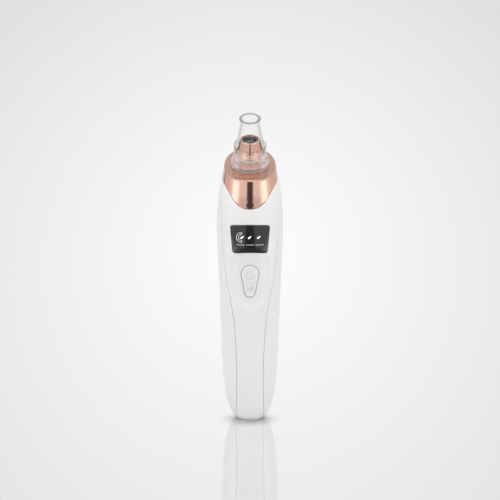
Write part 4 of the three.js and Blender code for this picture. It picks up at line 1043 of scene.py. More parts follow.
def charging_slot(skin, build):
    """Rounded charging slot through the foot, from below upwards."""
    body = skin.body
    low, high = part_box("charge_socket")
    half_x = high.x + body.seam
    half_y = (high.y - low.y) / 2 + body.seam
    y = body.socket_place
    corner = SLOT_CORNER
    levels = [(grow * MM, z * MM) for grow, z in SLOT_EDGE]
    rows = []
    for grow, height in [*levels, (0, body.wall)]:
        x, d = half_x + grow, half_y + grow
        shape = rounded([(-x, y - d, corner), (x, y - d, corner), (x, y + d, corner), (-x, y + d, corner)], 8)
        rows.append(build.add(np.column_stack([shape, np.full(len(shape), height)])))
    for lower, upper in zip(rows, rows[1:]):
        build.strip(lower, upper)
    return rows


# Finishes

WHITE = (1, 1, 1)
LENGTHWISE = (1, 1, 0.04)


class Nodes:
    """Node tree of a finish or of the world while it is made."""

    def __init__(self, owner):
        owner.use_nodes = True
        self.tree = owner.node_tree
        self.place = self.node("TexCoord").outputs["Object"]

    def feed(self, socket, value):
        """Links a socket to another one, or sets its number or colour."""
        if isinstance(value, bpy.types.NodeSocket):
            self.tree.links.new(value, socket)
        else:
            socket.default_value = (*value, 1) if socket.type == "RGBA" else value

    def node(self, kind, settings=None, **inputs):
        """Node with its settings and its inputs, named with a low line for each space."""
        made = self.tree.nodes.new(f"ShaderNode{kind}")
        for key, value in (settings or {}).items():
            setattr(made, key, value)
        for key, value in inputs.items():
            self.feed(made.inputs[key.replace("_", " ")], value)
        return made

    def sum(self, operation, first, second):
        """Result of one sum between sockets or numbers."""
        made = self.node("Math", {"operation": operation})
        for value, socket in zip((first, second), made.inputs):
            self.feed(socket, value)
        return made.outputs["Value"]

    def mixed(self, factor, first, second):
        """Mix of two shaders."""
        made = self.node("MixShader")
        for value, socket in zip((factor, first, second), made.inputs):
            self.feed(socket, value)
        return made.outputs["Shader"]

    def ranged(self, value, low, high, start=0.0, end=1.0, bend="LINEAR"):
        """Number that goes from low to high while a value goes from start to end."""
        return self.node(
            "MapRange", {"interpolation_type": bend},
            Value=value, From_Min=start, From_Max=end, To_Min=low, To_Max=high,
        ).outputs["Result"]

    def distance(self, move, scale):
        """Distance of the object's own places from the origin, once they are scaled and moved."""
        moved = self.node("Mapping", Vector=self.place, Location=move, Scale=scale).outputs["Vector"]
        made = self.node("VectorMath", {"operation": "LENGTH"})
        self.feed(made.inputs[0], moved)
        return made.outputs["Value"]

    def noise(self, scale, detail=3, stretch=None):
        """Noise over the object's own places; scale is repeats in a metre."""
        source = self.place
        if stretch:
            source = self.node("Mapping", Vector=source, Scale=stretch).outputs["Vector"]
        return self.node("TexNoise", Vector=source, Scale=scale, Detail=detail).outputs["Fac"]

    def seen_directly(self):
        """Socket that is 1 for what the camera, mirrors and clear pieces see."""
        path = self.node("LightPath")
        total = path.outputs["Is Camera Ray"]
        for name in ("Is Glossy Ray", "Is Transmission Ray"):
            total = self.sum("MAXIMUM", total, path.outputs[name])
        return total


class Finish(Nodes):
    """Material with its main shader."""

    def __init__(self, name):
        self.material = bpy.data.materials.new(name)
        super().__init__(self.material)
        self.shader = self.tree.nodes["Principled BSDF"]

    def set(self, **values):
        for key, value in values.items():
            self.feed(self.shader.inputs[key.replace("_", " ")], value)

    def tint(self, tone, factor, dark, pale):
        """Base colour that drifts with a factor between two shades of a tone."""
        made = self.node("Mix", {"data_type": "RGBA"}, Factor=factor, A=shaded(tone, dark), B=shaded(tone, pale))
        self.set(Base_Color=made.outputs["Result"])

    def gloss(self, factor, low, high):
        """Roughness that drifts with a factor."""
        self.set(Roughness=self.ranged(factor, low, high))

    def bump(self, height, depth, strength):
        made = self.node("Bump", Strength=strength, Distance=depth, Height=height)
        self.set(Normal=made.outputs["Normal"])

    def surface(self, shader):
        """Gives the material another shader than its main one."""
        self.feed(self.tree.nodes["Material Output"].inputs["Surface"], shader)


def shaded(tone, amount):
    """Colour made a little lighter or darker."""
    return tuple(min(1.0, max(0.0, c * amount)) for c in tone)


def moulded_plastic(name, tone, roughness=0.3, grain=2600, coat=0.0):
    """Moulded plastic: faint flow shades, uneven gloss and a fine mould texture."""
    finish = Finish(name)
    finish.tint(tone, finish.noise(55, 2), 0.975, 1.02)
    finish.gloss(finish.noise(420, 4), roughness - 0.05, roughness + 0.06)
    finish.bump(finish.noise(grain, 2), 0.01 * MM, 0.35)
    finish.set(Coat_Weight=coat, Coat_Roughness=0.08)
    return finish.material


def polished_plating(name, tone, roughness):
    """Mirror plating: slight colour drift, polish haze and faint buffing lines."""
    finish = Finish(name)
    finish.tint(tone, finish.noise(70, 2), 0.96, 1.03)
    finish.gloss(finish.noise(900, 4, (1, 1, 0.06)), roughness, roughness + 0.05)
    finish.bump(finish.noise(1500, 3, (1, 1, 0.05)), 0.002 * MM, 0.2)
    finish.set(Metallic=1.0)
    return finish.material


def satin_metal(name, tone, roughness, stretch=(1, 1, 1)):
    """Satin or brushed metal with its grain in one direction."""
    finish = Finish(name)
    lines = finish.noise(2200, 4, stretch)
    finish.tint(tone, lines, 0.85, 1.1)
    finish.gloss(finish.noise(600, 3), roughness - 0.05, roughness + 0.08)
    finish.bump(lines, 0.006 * MM, 0.35)
    finish.set(Metallic=1.0)
    return finish.material


def clear_plastic(name, tone, roughness=0.02, clearness=1.0, bend=1.3, coat=0.0):
    """Clear moulded plastic with faint flow waves and an uneven polish; hazy where it is rough and less clear."""
    finish = Finish(name)
    finish.gloss(finish.noise(300, 3), roughness, roughness + 0.03)
    finish.bump(finish.noise(160, 2), 0.02 * MM, 0.12)
    finish.set(Base_Color=tone, Transmission_Weight=clearness, IOR=bend, Coat_Weight=coat, Coat_Roughness=0.05)
    return finish.material


def dark_pane(name, tone):
    """Tinted glossy pane with a hard coat and a trace of haze."""
    finish = Finish(name)
    finish.tint(tone, finish.noise(120, 2), 0.8, 1.25)
    finish.gloss(finish.noise(700, 3), 0.1, 0.17)
    finish.set(Coat_Weight=0.6, Coat_Roughness=0.03)
    return finish.material


def lit_print(name, tone, glow):
    """Printed mark on a lit pane."""
    finish = Finish(name)
    finish.tint(tone, finish.noise(900, 2), 0.93, 1.05)
    finish.gloss(finish.noise(1200, 2), 0.3, 0.45)
    finish.set(Emission_Color=tone, Emission_Strength=glow)
    return finish.material


def soft_rubber(name, tone, roughness=0.7):
    """Rubber or silicone with a dusty, uneven surface."""
    finish = Finish(name)
    finish.tint(tone, finish.noise(300, 4), 0.85, 1.15)
    finish.gloss(finish.noise(800, 3), roughness - 0.1, roughness + 0.1)
    finish.bump(finish.noise(3000, 3), 0.02 * MM, 0.4)
    return finish.material


def open_foam(name, tone):
    """Open-celled foam."""
    finish = Finish(name)
    cells = finish.node("TexVoronoi", Vector=finish.place, Scale=2600).outputs["Distance"]
    finish.tint(tone, cells, 0.5, 1.1)
    finish.gloss(finish.noise(900, 2), 0.88, 1.0)
    finish.bump(cells, 0.2 * MM, 0.9)
    return finish.material


def circuit_board(name, tone):
    """Lacquered board with paler tracks under the lacquer."""
    finish = Finish(name)
    upright = finish.node("Mapping", Vector=finish.place, Rotation=(math.pi / 2, 0, 0)).outputs["Vector"]
    tracks = finish.node(
        "TexBrick", Vector=upright, Scale=240, Mortar_Size=0.04,
        Color1=shaded(tone, 0.9), Color2=shaded(tone, 1.1), Mortar=shaded(tone, 1.9),
    )
    finish.set(Base_Color=tracks.outputs["Color"])
    finish.gloss(finish.noise(500, 3), 0.3, 0.45)
    finish.bump(tracks.outputs["Fac"], 0.03 * MM, 0.4)
    return finish.material


# Maker and settings of the finish of each slot that keeps the record's colour
SLOT_FINISHES = {
    "steel": (satin_metal, 0.34, LENGTHWISE),
    "nickel": (satin_metal, 0.24),
    "copper": (satin_metal, 0.33, LENGTHWISE),
    "magnet": (soft_rubber, 0.6),
    "board": (circuit_board,),
    "black_plastic": (moulded_plastic, 0.5, 3200),
    "grey_plastic": (moulded_plastic, 0.45, 3200),
    "milk_plastic": (moulded_plastic, 0.42),
    "lamp": (lit_print, 0.4),
    "black_rubber": (soft_rubber,),
    "silicone": (soft_rubber, 0.5),
    "grey_foam": (open_foam,),
    "white_foam": (open_foam,),
    "cell_wrap": (moulded_plastic, 0.3, 900),
    "red_lead": (moulded_plastic, 0.45, 4000),
    "black_lead": (moulded_plastic, 0.45, 4000),
}


def slot_tone(slot):
    """Colour that the record gives a material slot."""
    found = [entry for entry in frame["record"]["materials"] if entry["slot"] == slot]
    if not found:
        raise RuntimeError(f"the record has no material slot {slot}")
    return tuple(found[0]["base_color"][:3])


def slot_finish(slot, name):
    """Finish of a material slot in the record's colour."""
    maker, *settings = SLOT_FINISHES[slot]
    return maker(name, slot_tone(slot), *settings)


class PORE_OT_stage(bpy.types.Operator):
    """Make the camera, the pale floor and the soft studio light"""

    bl_idname = "pore.stage"
    bl_label = "Camera, floor and light"

    # Floor and light in metres; FLAG and NECK_FLAG are the brightness of the dark cards
    FLOOR_LEVEL = -0.02 * MM
    FLOOR_SIDES = 96
    FLOOR_RINGS = (0.05, 0.1, 0.2, 0.4, 0.8, 1.6, 3.2, 6.4, 12.8)
    FLOOR_POLISH = 0.06
    GLOW_REACH = 0.25
    MIRROR_EDGE = (0.85, 1.15)
    OVERHEAD_EDGE = (0.3, 0.65)
    TOP_LIGHT_SIZE = 1.2
    TOP_LIGHT_HEIGHT = 1.5
    FLAG = 0.06
    NECK_FLAG = 0.2
    RUNNER_SOFT = 0.5

    def execute(self, context):
        stage = context.scene.pore_stage
        self.make_camera(context, stage)
        self.make_world(context, stage)
        self.make_floor(context, stage)
        self.make_lights(context, stage)
        context.scene.view_settings.view_transform = "Standard"
        return {"FINISHED"}

    def make_camera(self, context, stage):
        data = bpy.data.cameras.new("studio_camera")
        camera = bpy.data.objects.new("studio_camera", data)
        context.scene.collection.objects.link(camera)
        back = Vector((0, -math.cos(stage.camera_height), math.sin(stage.camera_height)))
        camera.location = Vector((0, 0, stage.view_middle)) + back * stage.camera_distance
        camera.rotation_mode = "QUATERNION"
        camera.rotation_quaternion = (-back).to_track_quat("-Z", "Y")
        data.sensor_width = 36
        data.lens = data.sensor_width * stage.camera_distance / stage.view_width
        data.clip_start, data.clip_end = 0.05, 60
        context.scene.camera = camera

    def make_world(self, context, stage):
        world = bpy.data.worlds.new("studio_world")
        context.scene.world = world
        nodes = Nodes(world)
        light = nodes.tree.nodes["Background"]
        nodes.feed(light.inputs["Color"], WHITE)
        nodes.feed(light.inputs["Strength"], stage.daylight)
        height = nodes.node("SeparateXYZ", Vector=nodes.node("TexCoord").outputs["Generated"]).outputs["Z"]
        fall = nodes.ranged(height, stage.backdrop, stage.overhead, *self.OVERHEAD_EDGE, "SMOOTHSTEP")
        shown = nodes.node("Background", Color=WHITE, Strength=fall)
        whole = nodes.mixed(nodes.seen_directly(), light.outputs["Background"], shown.outputs["Background"])
        nodes.feed(nodes.tree.nodes["World Output"].inputs["Surface"], whole)

    def make_floor(self, context, stage):
        build = Build()
        made = build.loft([level_ring(radius, self.FLOOR_LEVEL, self.FLOOR_SIDES) for radius in self.FLOOR_RINGS])
        build.fan(made[0], (0, 0, self.FLOOR_LEVEL))
        mesh = build.mesh("studio_floor")
        mesh.flip_normals()
        self.show(context, "studio_floor", mesh, self.floor_finish(stage))

    def show(self, context, name, mesh, material):
        """Object of the stage with its material."""
        obj = bpy.data.objects.new(name, mesh)
        context.scene.collection.objects.link(obj)
        mesh.materials.append(material)
        return obj

    def floor_finish(self, stage):
        """Pale floor: close to the wand a painted shadow in a darker grey over the real shading, a soft mirror near it,
        and beyond a glow that is a painted pool of light.
        """
        finish = Finish("pale_floor")
        # Painted shadow: the camera, mirrors and clear pieces see this lit floor in a darker grey than the one that
        # throws light back up
        seen_here = finish.seen_directly()
        tone = finish.sum("MULTIPLY", seen_here, stage.painted_shadow_grey - stage.floor_bounce)
        tone = finish.sum("ADD", tone, stage.floor_bounce)
        grain = finish.ranged(finish.noise(6, 2), 1.0, 1.02)
        finish.set(Base_Color=finish.sum("MULTIPLY", tone, grain), Roughness=1.0, Specular_IOR_Level=0.0)
        # Place in the mirror strip, place in the picture from its middle for the painted pool of light, and place in
        # the painted shadow
        strip = finish.distance(
            (0, stage.mirror_front / stage.mirror_depth, 0), (1 / stage.mirror_width, 1 / stage.mirror_depth, 0),
        )
        spread = finish.distance(
            (0, -stage.view_middle * math.cos(stage.camera_height), 0), (1, math.sin(stage.camera_height), 0),
        )
        near = finish.distance((0, stage.shadow_front, 0), (1, 1, 0))
        # Painted pool of light: the glow dims with the distance from the picture's middle
        far_glow = stage.glow - self.GLOW_REACH * stage.glow_fall
        shade = finish.ranged(spread, stage.glow, far_glow, 0.0, self.GLOW_REACH)
        mirror = finish.ranged(strip, stage.floor_mirror, 0.0, *self.MIRROR_EDGE, "SMOOTHSTEP")
        # The glow makes up what the mirror's share takes from the wanted brightness of the painted pool of light
        rest = finish.sum("SUBTRACT", shade, finish.sum("MULTIPLY", mirror, stage.backdrop))
        kept = finish.sum("SUBTRACT", 1.0, mirror)
        glow = finish.node("Emission", Strength=finish.sum("DIVIDE", rest, kept))
        gloss = finish.node("BsdfGlossy", Color=WHITE, Roughness=self.FLOOR_POLISH)
        pale = finish.mixed(mirror, glow.outputs["Emission"], gloss.outputs["BSDF"])
        # Close to the foot the darker lit floor shows, a painted shadow over the real shading; it fades into the glow
        # by the shadow's reach
        fade = finish.ranged(near, 0.0, 1.0, 0.0, stage.shadow_reach, "SMOOTHSTEP")
        shown = finish.sum("MULTIPLY", fade, seen_here)
        finish.surface(finish.mixed(shown, finish.shader.outputs["BSDF"], pale))
        return finish.material

    def make_lights(self, context, stage):
        data = bpy.data.lights.new("top_light", "AREA")
        data.shape = "SQUARE"
        data.size = self.TOP_LIGHT_SIZE
        data.energy = stage.top_light * math.pi * data.size ** 2
        lamp = bpy.data.objects.new("top_light", data)
        context.scene.collection.objects.link(lamp)
        lamp.location = (0, stage.top_light_place, self.TOP_LIGHT_HEIGHT)
        lamp.visible_glossy = False
        # Name, bearing from the front, distance, height of the middle, width, height, brightness, soft share and
        # what sees it
        cards = (
            ("left_light", -62, 1.1, 0.45, 0.8, 1.2, stage.side_light, 0.2, "diffuse"),
            ("right_light", 62, 1.1, 0.45, 0.8, 1.2, stage.side_light, 0.2, "diffuse"),
            ("left_glow", -43, 1.1, 0.11, 1.0, 0.24, stage.side_glow, 0.85, "mirror"),
            ("right_glow", 42, 1.1, 0.11, 1.0, 0.24, stage.side_glow, 0.85, "mirror"),
            ("left_shade", -100, 1.1, 0.11, 0.9, 0.24, stage.side_shade, 0.3, "mirror"),
            ("right_shade", 100, 1.1, 0.11, 0.9, 0.24, stage.side_shade, 0.3, "mirror"),
            ("front_flag", 0, 2.0, 0.165, 0.31, 0.33, self.FLAG, 0.4, "mirror"),
            ("left_flag", -131, 0.65, 0.07, 0.09, 0.15, self.FLAG, 0.3, "mirror"),
            ("left_edge", -125, 0.6, 0.2, 0.35, 0.7, stage.edge_shade, 0.3, "clear"),
            ("right_edge", 125, 0.6, 0.2, 0.35, 0.7, stage.edge_shade, 0.3, "clear"),
        )
        for name, bearing, distance, height, wide, tall, brightness, soft, seen_by in cards:
            card = self.make_card(context, name, wide, tall, brightness, soft, seen_by)
            bearing = math.radians(bearing)
            card.location = (distance * math.sin(bearing), -distance * math.cos(bearing), height)
            card.rotation_euler = (0, 0, bearing)
        # Name, width, depth, place to the right, place in front of the axis, height and brightness
        for name, wide, deep, right, front, height, brightness in (
            ("near_runner", 0.1, 0.5, 0, 0.5, 0.0002, self.FLAG),
            ("far_runner", 0.2, 1.25, 0, 1.375, 0.0002, self.FLAG),
            ("neck_flag", 0.12, 0.1, 0, 0.095, 0.05, self.NECK_FLAG),
            ("neck_glow_left", 0.12, 0.1, -0.12, 0.095, 0.05, stage.side_glow),
            ("neck_glow_right", 0.12, 0.1, 0.12, 0.095, 0.05, stage.side_glow),
        ):
            runner = self.make_card(context, name, wide, deep, brightness, self.RUNNER_SOFT, "mirror")
            runner.location = (right, -front, height)
            runner.rotation_euler = (-math.pi / 2, 0, 0)

    def make_card(self, context, name, wide, tall, brightness, soft, seen_by):
        """Upright card with soft sides, seen only by the plain surfaces it lights, by mirrors or by clear pieces."""
        half, rise = wide / 2, tall / 2
        mesh = bpy.data.meshes.new(name)
        mesh.from_pydata([(-half, 0, -rise), (half, 0, -rise), (half, 0, rise), (-half, 0, rise)], [], [(0, 1, 2, 3)])
        finish = Finish(name)
        across = finish.node("SeparateXYZ", Vector=finish.place).outputs["X"]
        away = finish.sum("ABSOLUTE", across, 0.0)
        fade = finish.ranged(away, 0.0, 1.0, half * (1 - soft), half, "SMOOTHSTEP")
        glow = finish.node("Emission", Strength=brightness)
        clear = finish.node("BsdfTransparent")
        finish.surface(finish.mixed(fade, glow.outputs["Emission"], clear.outputs["BSDF"]))
        finish.tree.nodes.remove(finish.shader)
        card = self.show(context, name, mesh, finish.material)
        card.visible_camera = False
        card.visible_shadow = False
        card.visible_diffuse = seen_by == "diffuse"
        card.visible_glossy = seen_by == "mirror"
        card.visible_transmission = seen_by != "diffuse"
        return card


class PORE_OT_shells(bpy.types.Operator):
    """Make the white front and back shells"""

    bl_idname = "pore.shells"
    bl_label = "Front and back shells"

    def execute(self, context):
        skin = BodySkin(context.scene)
        white = moulded_plastic("shell_white", context.scene.pore_finishes.shell_white, 0.3, 2600, 0.25)
        place("front_shell", front_shell_mesh(skin), [white], "wand", ["front_cover"])
        place("back_shell", back_shell_mesh(skin), [white], "wand", ["rear_housing"])
        return {"FINISHED"}


class PORE_OT_collar(bpy.types.Operator):
    """Make the rose-gold collar with its sloping face and front tongue"""

    bl_idname = "pore.collar"
    bl_label = "Collar"

    SIDES = 288
    SIDE_ROWS = 14
    FACE_ROWS = 5
    INNER_ROWS = 4
    FOOT_ROUND = 0.25 * MM
    FACE_ROUND = 0.4 * MM
    HOLE_ROUND = 0.3 * MM

    def execute(self, context):
        skin = BodySkin(context.scene)
        tone = context.scene.pore_finishes.rose_gold
        mirror = polished_plating("rose_mirror", tone, 0.06)
        satin = polished_plating("rose_satin", shaded(tone, 0.92), 0.14)
        mesh = self.collar_mesh(skin)
        place("rose_collar", mesh, [mirror, satin], "wand", ["head_collar"], 32)
        return {"FINISHED"}

    def collar_mesh(self, skin):
        head, body = skin.head, skin.body
        turn = np.linspace(FRONT, FRONT + FULL_TURN, self.SIDES, endpoint=False)

        def ring_at(height, inset):
            return skin.points(turn, height, inset, True)

        def spigot_foot(inset):
            level = skin.face_height(turn, inset, -head.collar_depth - head.spigot_depth)
            return np.minimum(level, skin.seam_height(turn, 0.0, inset))

        low = skin.seam_height(turn, 0.0, head.collar_inset)
        high = skin.face_height(turn, head.collar_inset)
        rows = [ring_at(low + (high - low) * t, head.collar_inset) for t in np.linspace(0, 1, self.SIDE_ROWS)]
        right, up = np.array(head_matrix(body))[:3, :2].T
        flat = (rows[-1] - skin.head_place) @ np.array([right, up]).T
        ring = swung(np.arctan2(flat[:, 1], flat[:, 0]), right, up)
        hole = ring * (head.neck_shank + body.seam) + skin.head_place
        for t in np.linspace(0, 1, self.FACE_ROWS)[1:]:
            rows.append(rows[self.SIDE_ROWS - 1] * (1 - t) + hole * t)
        rows.append(hole - skin.head_normal * head.collar_plate)
        inner_high = skin.face_height(turn, head.collar_wall, -head.collar_plate)
        bottom = spigot_foot(head.collar_wall)
        for t in np.linspace(0, 1, self.INNER_ROWS):
            rows.append(ring_at(inner_high * (1 - t) + bottom * t, head.collar_wall))
        seat = body.wall + body.seam
        rows.append(ring_at(spigot_foot(seat), seat))
        rows.append(ring_at(skin.seam_height(turn, 0.0, seat), seat))
        face_row, hole_row = self.SIDE_ROWS - 1, self.SIDE_ROWS + self.FACE_ROWS - 2
        radii = np.zeros(len(rows))
        radii[[0, face_row, hole_row]] = self.FOOT_ROUND, self.FACE_ROUND, self.HOLE_ROUND
        finishes = np.zeros(len(rows), int)
        finishes[face_row:hole_row + 1] = 1
        rows, finishes = softened(rows, radii, finishes)
        return lofted("rose_collar", rows, finishes=finishes)


def inlay_mesh(name, skin, loops_list, proud, sink, spacing, lift=None):
    """Thin printed shapes on the front of the body; each shape is a list of flat outlines, the outer one first."""
    build = Build()
    for loops in loops_list:
        outlines = [respaced(loop, spacing) for loop in loops]
        scaled = [outline / MM for outline in outlines]
        seeds = seeds_within(scaled, spacing * 1.6 / MM)
        flat = np.concatenate([*scaled, seeds]) * MM
        base = skin.front_points(flat)
        if lift is not None:
            base[:, 1] -= lift(flat)
        faces = filled(scaled, seeds)
        top = build.add(base - np.array([0, proud, 0]))
        bottom = build.add(base + np.array([0, sink, 0]))
        build.triangles(top, faces)
        build.triangles(bottom, faces, flip=True)
        start = 0
        for outline in outlines:
            count = len(outline)
            build.strip(top[start:start + count], bottom[start:start + count])
            start += count
    return build.mesh(name)


def ring_band(middle, inner, outer, start, end, steps=48):
    """Band of a circle from one angle to another, with round ends."""
    middle = np.array(middle)
    centre, half = (inner + outer) / 2, (outer - inner) / 2
    turns = np.linspace(start, end, steps)
    cap = np.linspace(0, math.pi, 12)[1:-1]

    def at(radius, angles):
        return middle + radius * swung(angles)

    def end_cap(angle, turn_from):
        spot = middle + centre * np.array([math.cos(angle), math.sin(angle)])
        return spot + half * swung(turn_from + cap)

    return np.vstack([
        at(outer, turns), end_cap(end, end), at(inner, turns[::-1]), end_cap(start, start + math.pi),
    ])


def bar(x0, z0, x1, z1, width):
    """Straight bar with round ends between two flat places."""
    start, end = np.array([x0, z0]), np.array([x1, z1])
    lean = math.atan2(z1 - z0, x1 - x0)
    half = np.linspace(-math.pi / 2, math.pi / 2, 12)
    ends = [
        spot + width / 2 * swung(lean + turn)
        for spot, turn in ((end, half), (start, half + math.pi))
    ]
    return np.vstack(ends)


def drop(x, z, length, width, lean):
    """Water drop with its point towards lean."""
    t = around(60)
    along = length / 2 * np.cos(t)
    across = width * np.sin(t) * np.sin(t / 2) ** 1.4 * 0.78
    cosine, sine = math.cos(lean), math.sin(lean)
    return np.column_stack([x + along * cosine - across * sine, z + along * sine + across * cosine])


class PORE_OT_display(bpy.types.Operator):
    """Make the dark display pane with its drop icons and level marks"""

    bl_idname = "pore.display"
    bl_label = "Display"

    PANE_ROUND = 0.25 * MM
    ICON_RISE = 1.55 * MM
    ICON_PLACES = (-4.4, -0.1, 5.1)
    DROP_LENGTH = 2.5 * MM
    DROP_WIDTH = 0.95 * MM
    DROP_LEAN = math.radians(38)
    ARC_PLACE = (-4.7 * MM, -0.1 * MM)
    ARC_TURNS = (math.radians(102), math.radians(258))
    ARC_OUTSIDE = (1.75 * MM, 3.1 * MM)
    ARC_INSIDE = (1.92 * MM, 2.93 * MM)
    MARK_DROP = 2.9 * MM
    MARK_GROUPS = (-5.4, 0.0, 5.4)
    MARKS = 4
    MARK_PITCH = 1.15
    MARK_HALF = 0.3 * MM
    MARK_STROKE = 0.42 * MM

    def execute(self, context):
        skin = BodySkin(context.scene)
        finishes = context.scene.pore_finishes
        thickness = skin.controls.window_thickness
        edge = outline_edge(skin, window_outline(skin, 0.0))
        build, _ = skin_piece(skin, [edge], [edge_profile(self.PANE_ROUND, thickness)], 0.6, 1.5, thickness)
        black = dark_pane("pane_black", finishes.pane_black)
        place("display_pane", build.mesh("display_pane"), [black], "wand", ["display_window"])
        mesh = inlay_mesh("display_icons", skin, self.icons(skin), proud=0.03 * MM, sink=0.05 * MM, spacing=0.15 * MM)
        white = lit_print("icon_white", finishes.icon_white, 0.55)
        place("display_icons", mesh, [white], "wand", ())
        mesh = inlay_mesh("display_marks", skin, self.marks(skin), proud=0.02 * MM, sink=0.05 * MM, spacing=0.12 * MM)
        grey = lit_print("mark_grey", finishes.mark_grey, 0.15)
        place("display_marks", mesh, [grey], "wand", ())
        return {"FINISHED"}

    def icons(self, skin):
        """Three drops, and a line round an arc beside the first."""
        z = skin.display_z + self.ICON_RISE
        shapes = [[drop(x * MM, z, self.DROP_LENGTH, self.DROP_WIDTH, self.DROP_LEAN)] for x in self.ICON_PLACES]
        spot = (self.ARC_PLACE[0], z + self.ARC_PLACE[1])
        return [*shapes, [
            ring_band(spot, *self.ARC_OUTSIDE, *self.ARC_TURNS),
            ring_band(spot, *self.ARC_INSIDE, *self.ARC_TURNS)[::-1],
        ]]

    def marks(self, skin):
        """Groups of small bars under the icons."""
        low = skin.display_z - self.MARK_DROP
        shapes = []
        for x in self.MARK_GROUPS:
            for i in range(self.MARKS):
                middle = (x + (i - (self.MARKS - 1) / 2) * self.MARK_PITCH) * MM
                shapes.append([bar(middle - self.MARK_HALF, low, middle + self.MARK_HALF, low, self.MARK_STROKE)])
        return shapes


class PORE_OT_key(bpy.types.Operator):
    """Make the egg-shaped key with its raised rim and its symbols"""

    bl_idname = "pore.key"
    bl_label = "Power and mode key"

    # Millimetres in from the key's outline, and share of the key's proud height there
    RIM = np.array([
        (0.0, -0.25), (0.08, 0.25), (0.2, 0.62), (0.4, 0.9), (0.7, 1.0),
        (1.05, 1.0), (1.3, 0.9), (1.55, 0.68), (1.85, 0.55), (2.3, 0.5),
    ])

    # Switch sign, line below it, and bars with their places and heights in millimetres
    SIGN_RISE = 3.4 * MM
    SIGN_RADII = (1.95 * MM, 2.3 * MM)
    SIGN_GAP = math.radians(38)
    SIGN_STEM = 2.9 * MM
    SIGN_STROKE = 0.35 * MM
    LINE_DROP = 0.8 * MM
    LINE_HALF = 2.6 * MM
    LINE_STROKE = 0.28 * MM
    BARS_DROP = 6 * MM
    BARS = ((-1.3, 1.6), (0, 2.6), (1.3, 3.6))
    BAR_STROKE = 0.5 * MM

    def height(self, skin, distance):
        return skin.controls.key_proud * np.interp(distance / MM, self.RIM[:, 0], self.RIM[:, 1])

    def depth_in(self, skin, flat):
        """Distance of flat places in from the key's outline."""
        outline = key_outline(skin, 0.0)
        return np.array([np.sqrt(np.min(np.sum((outline - spot) ** 2, axis=1))) for spot in flat])

    def execute(self, context):
        skin = BodySkin(context.scene)
        finishes = context.scene.pore_finishes
        white = moulded_plastic("key_white", finishes.shell_white, 0.26, 2600, 0.3)
        place("press_key", self.key_mesh(skin), [white], "key", ["power_mode_key"], 40)
        mesh = inlay_mesh(
            "key_symbols", skin, self.symbols(skin), proud=0.02 * MM, sink=0.06 * MM, spacing=0.12 * MM,
            lift=lambda flat: self.height(skin, self.depth_in(skin, flat)),
        )
        grey = moulded_plastic("symbol_grey", finishes.symbol_grey, 0.45, 3000)
        place("key_symbols", mesh, [grey], "key", ())
        return {"FINISHED"}

    def symbols(self, skin):
        """Switch sign, a line below it, and rising bars."""
        z = skin.key_z + self.SIGN_RISE
        line = skin.key_z - self.LINE_DROP
        foot = skin.key_z - self.BARS_DROP
        shapes = [
            ring_band((0, z), *self.SIGN_RADII, BACK + self.SIGN_GAP, BACK + FULL_TURN - self.SIGN_GAP),
            bar(0, z, 0, z + self.SIGN_STEM, self.SIGN_STROKE),
            bar(-self.LINE_HALF, line, self.LINE_HALF, line, self.LINE_STROKE),
        ]
        shapes += [bar(x * MM, foot, x * MM, foot + tall * MM, self.BAR_STROKE) for x, tall in self.BARS]
        return [[shape] for shape in shapes]

    def key_mesh(self, skin):
        controls, body = skin.controls, skin.body
        build = Build()
        count = len(key_outline(skin, 0.0))
        steps_in = self.RIM[::-1, 0] * MM
        outlines = [spaced(key_outline(skin, -distance), count) for distance in steps_in]
        rows = []
        for outline, distance in zip(outlines, steps_in):
            points = skin.front_points(outline)
            points[:, 1] -= self.height(skin, distance)
            rows.append(points)
        seat = body.wall + body.seam
        underside = seat + controls.key_flange_thickness
        flange = spaced(key_outline(skin, controls.key_flange), count)
        for shape, inset in ((outlines[-1], seat), (flange, seat), (flange, underside)):
            rows.append(skin.front_points(shape, inset, True))
        made = build.loft(rows[::-1])[::-1]
        scaled = [outlines[0] / MM]
        seeds = seeds_within(scaled, 0.7)
        base = skin.front_points(seeds * MM)
        base[:, 1] -= self.height(skin, steps_in[0])
        build.triangles(np.concatenate([made[0], build.add(base)]), filled(scaled, seeds))
        circle = controls.key_stem * swung(around(48)) + np.array([0, skin.key_z])
        root = skin.front_points(circle, underside, True)
        stem_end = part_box("switch_plunger")[0].y - body.seam
        tip = root.copy()
        tip[:, 1] = stem_end
        stem = [build.add(root), build.add(tip)]
        loops = [flange / MM, circle / MM]
        build.triangles(np.concatenate([made[-1], stem[0]]), filled(loops, NO_SEEDS), flip=True)
        build.strip(stem[0], stem[1])
        build.fan(stem[1], (0, stem_end, skin.key_z))
        return build.mesh("press_key")


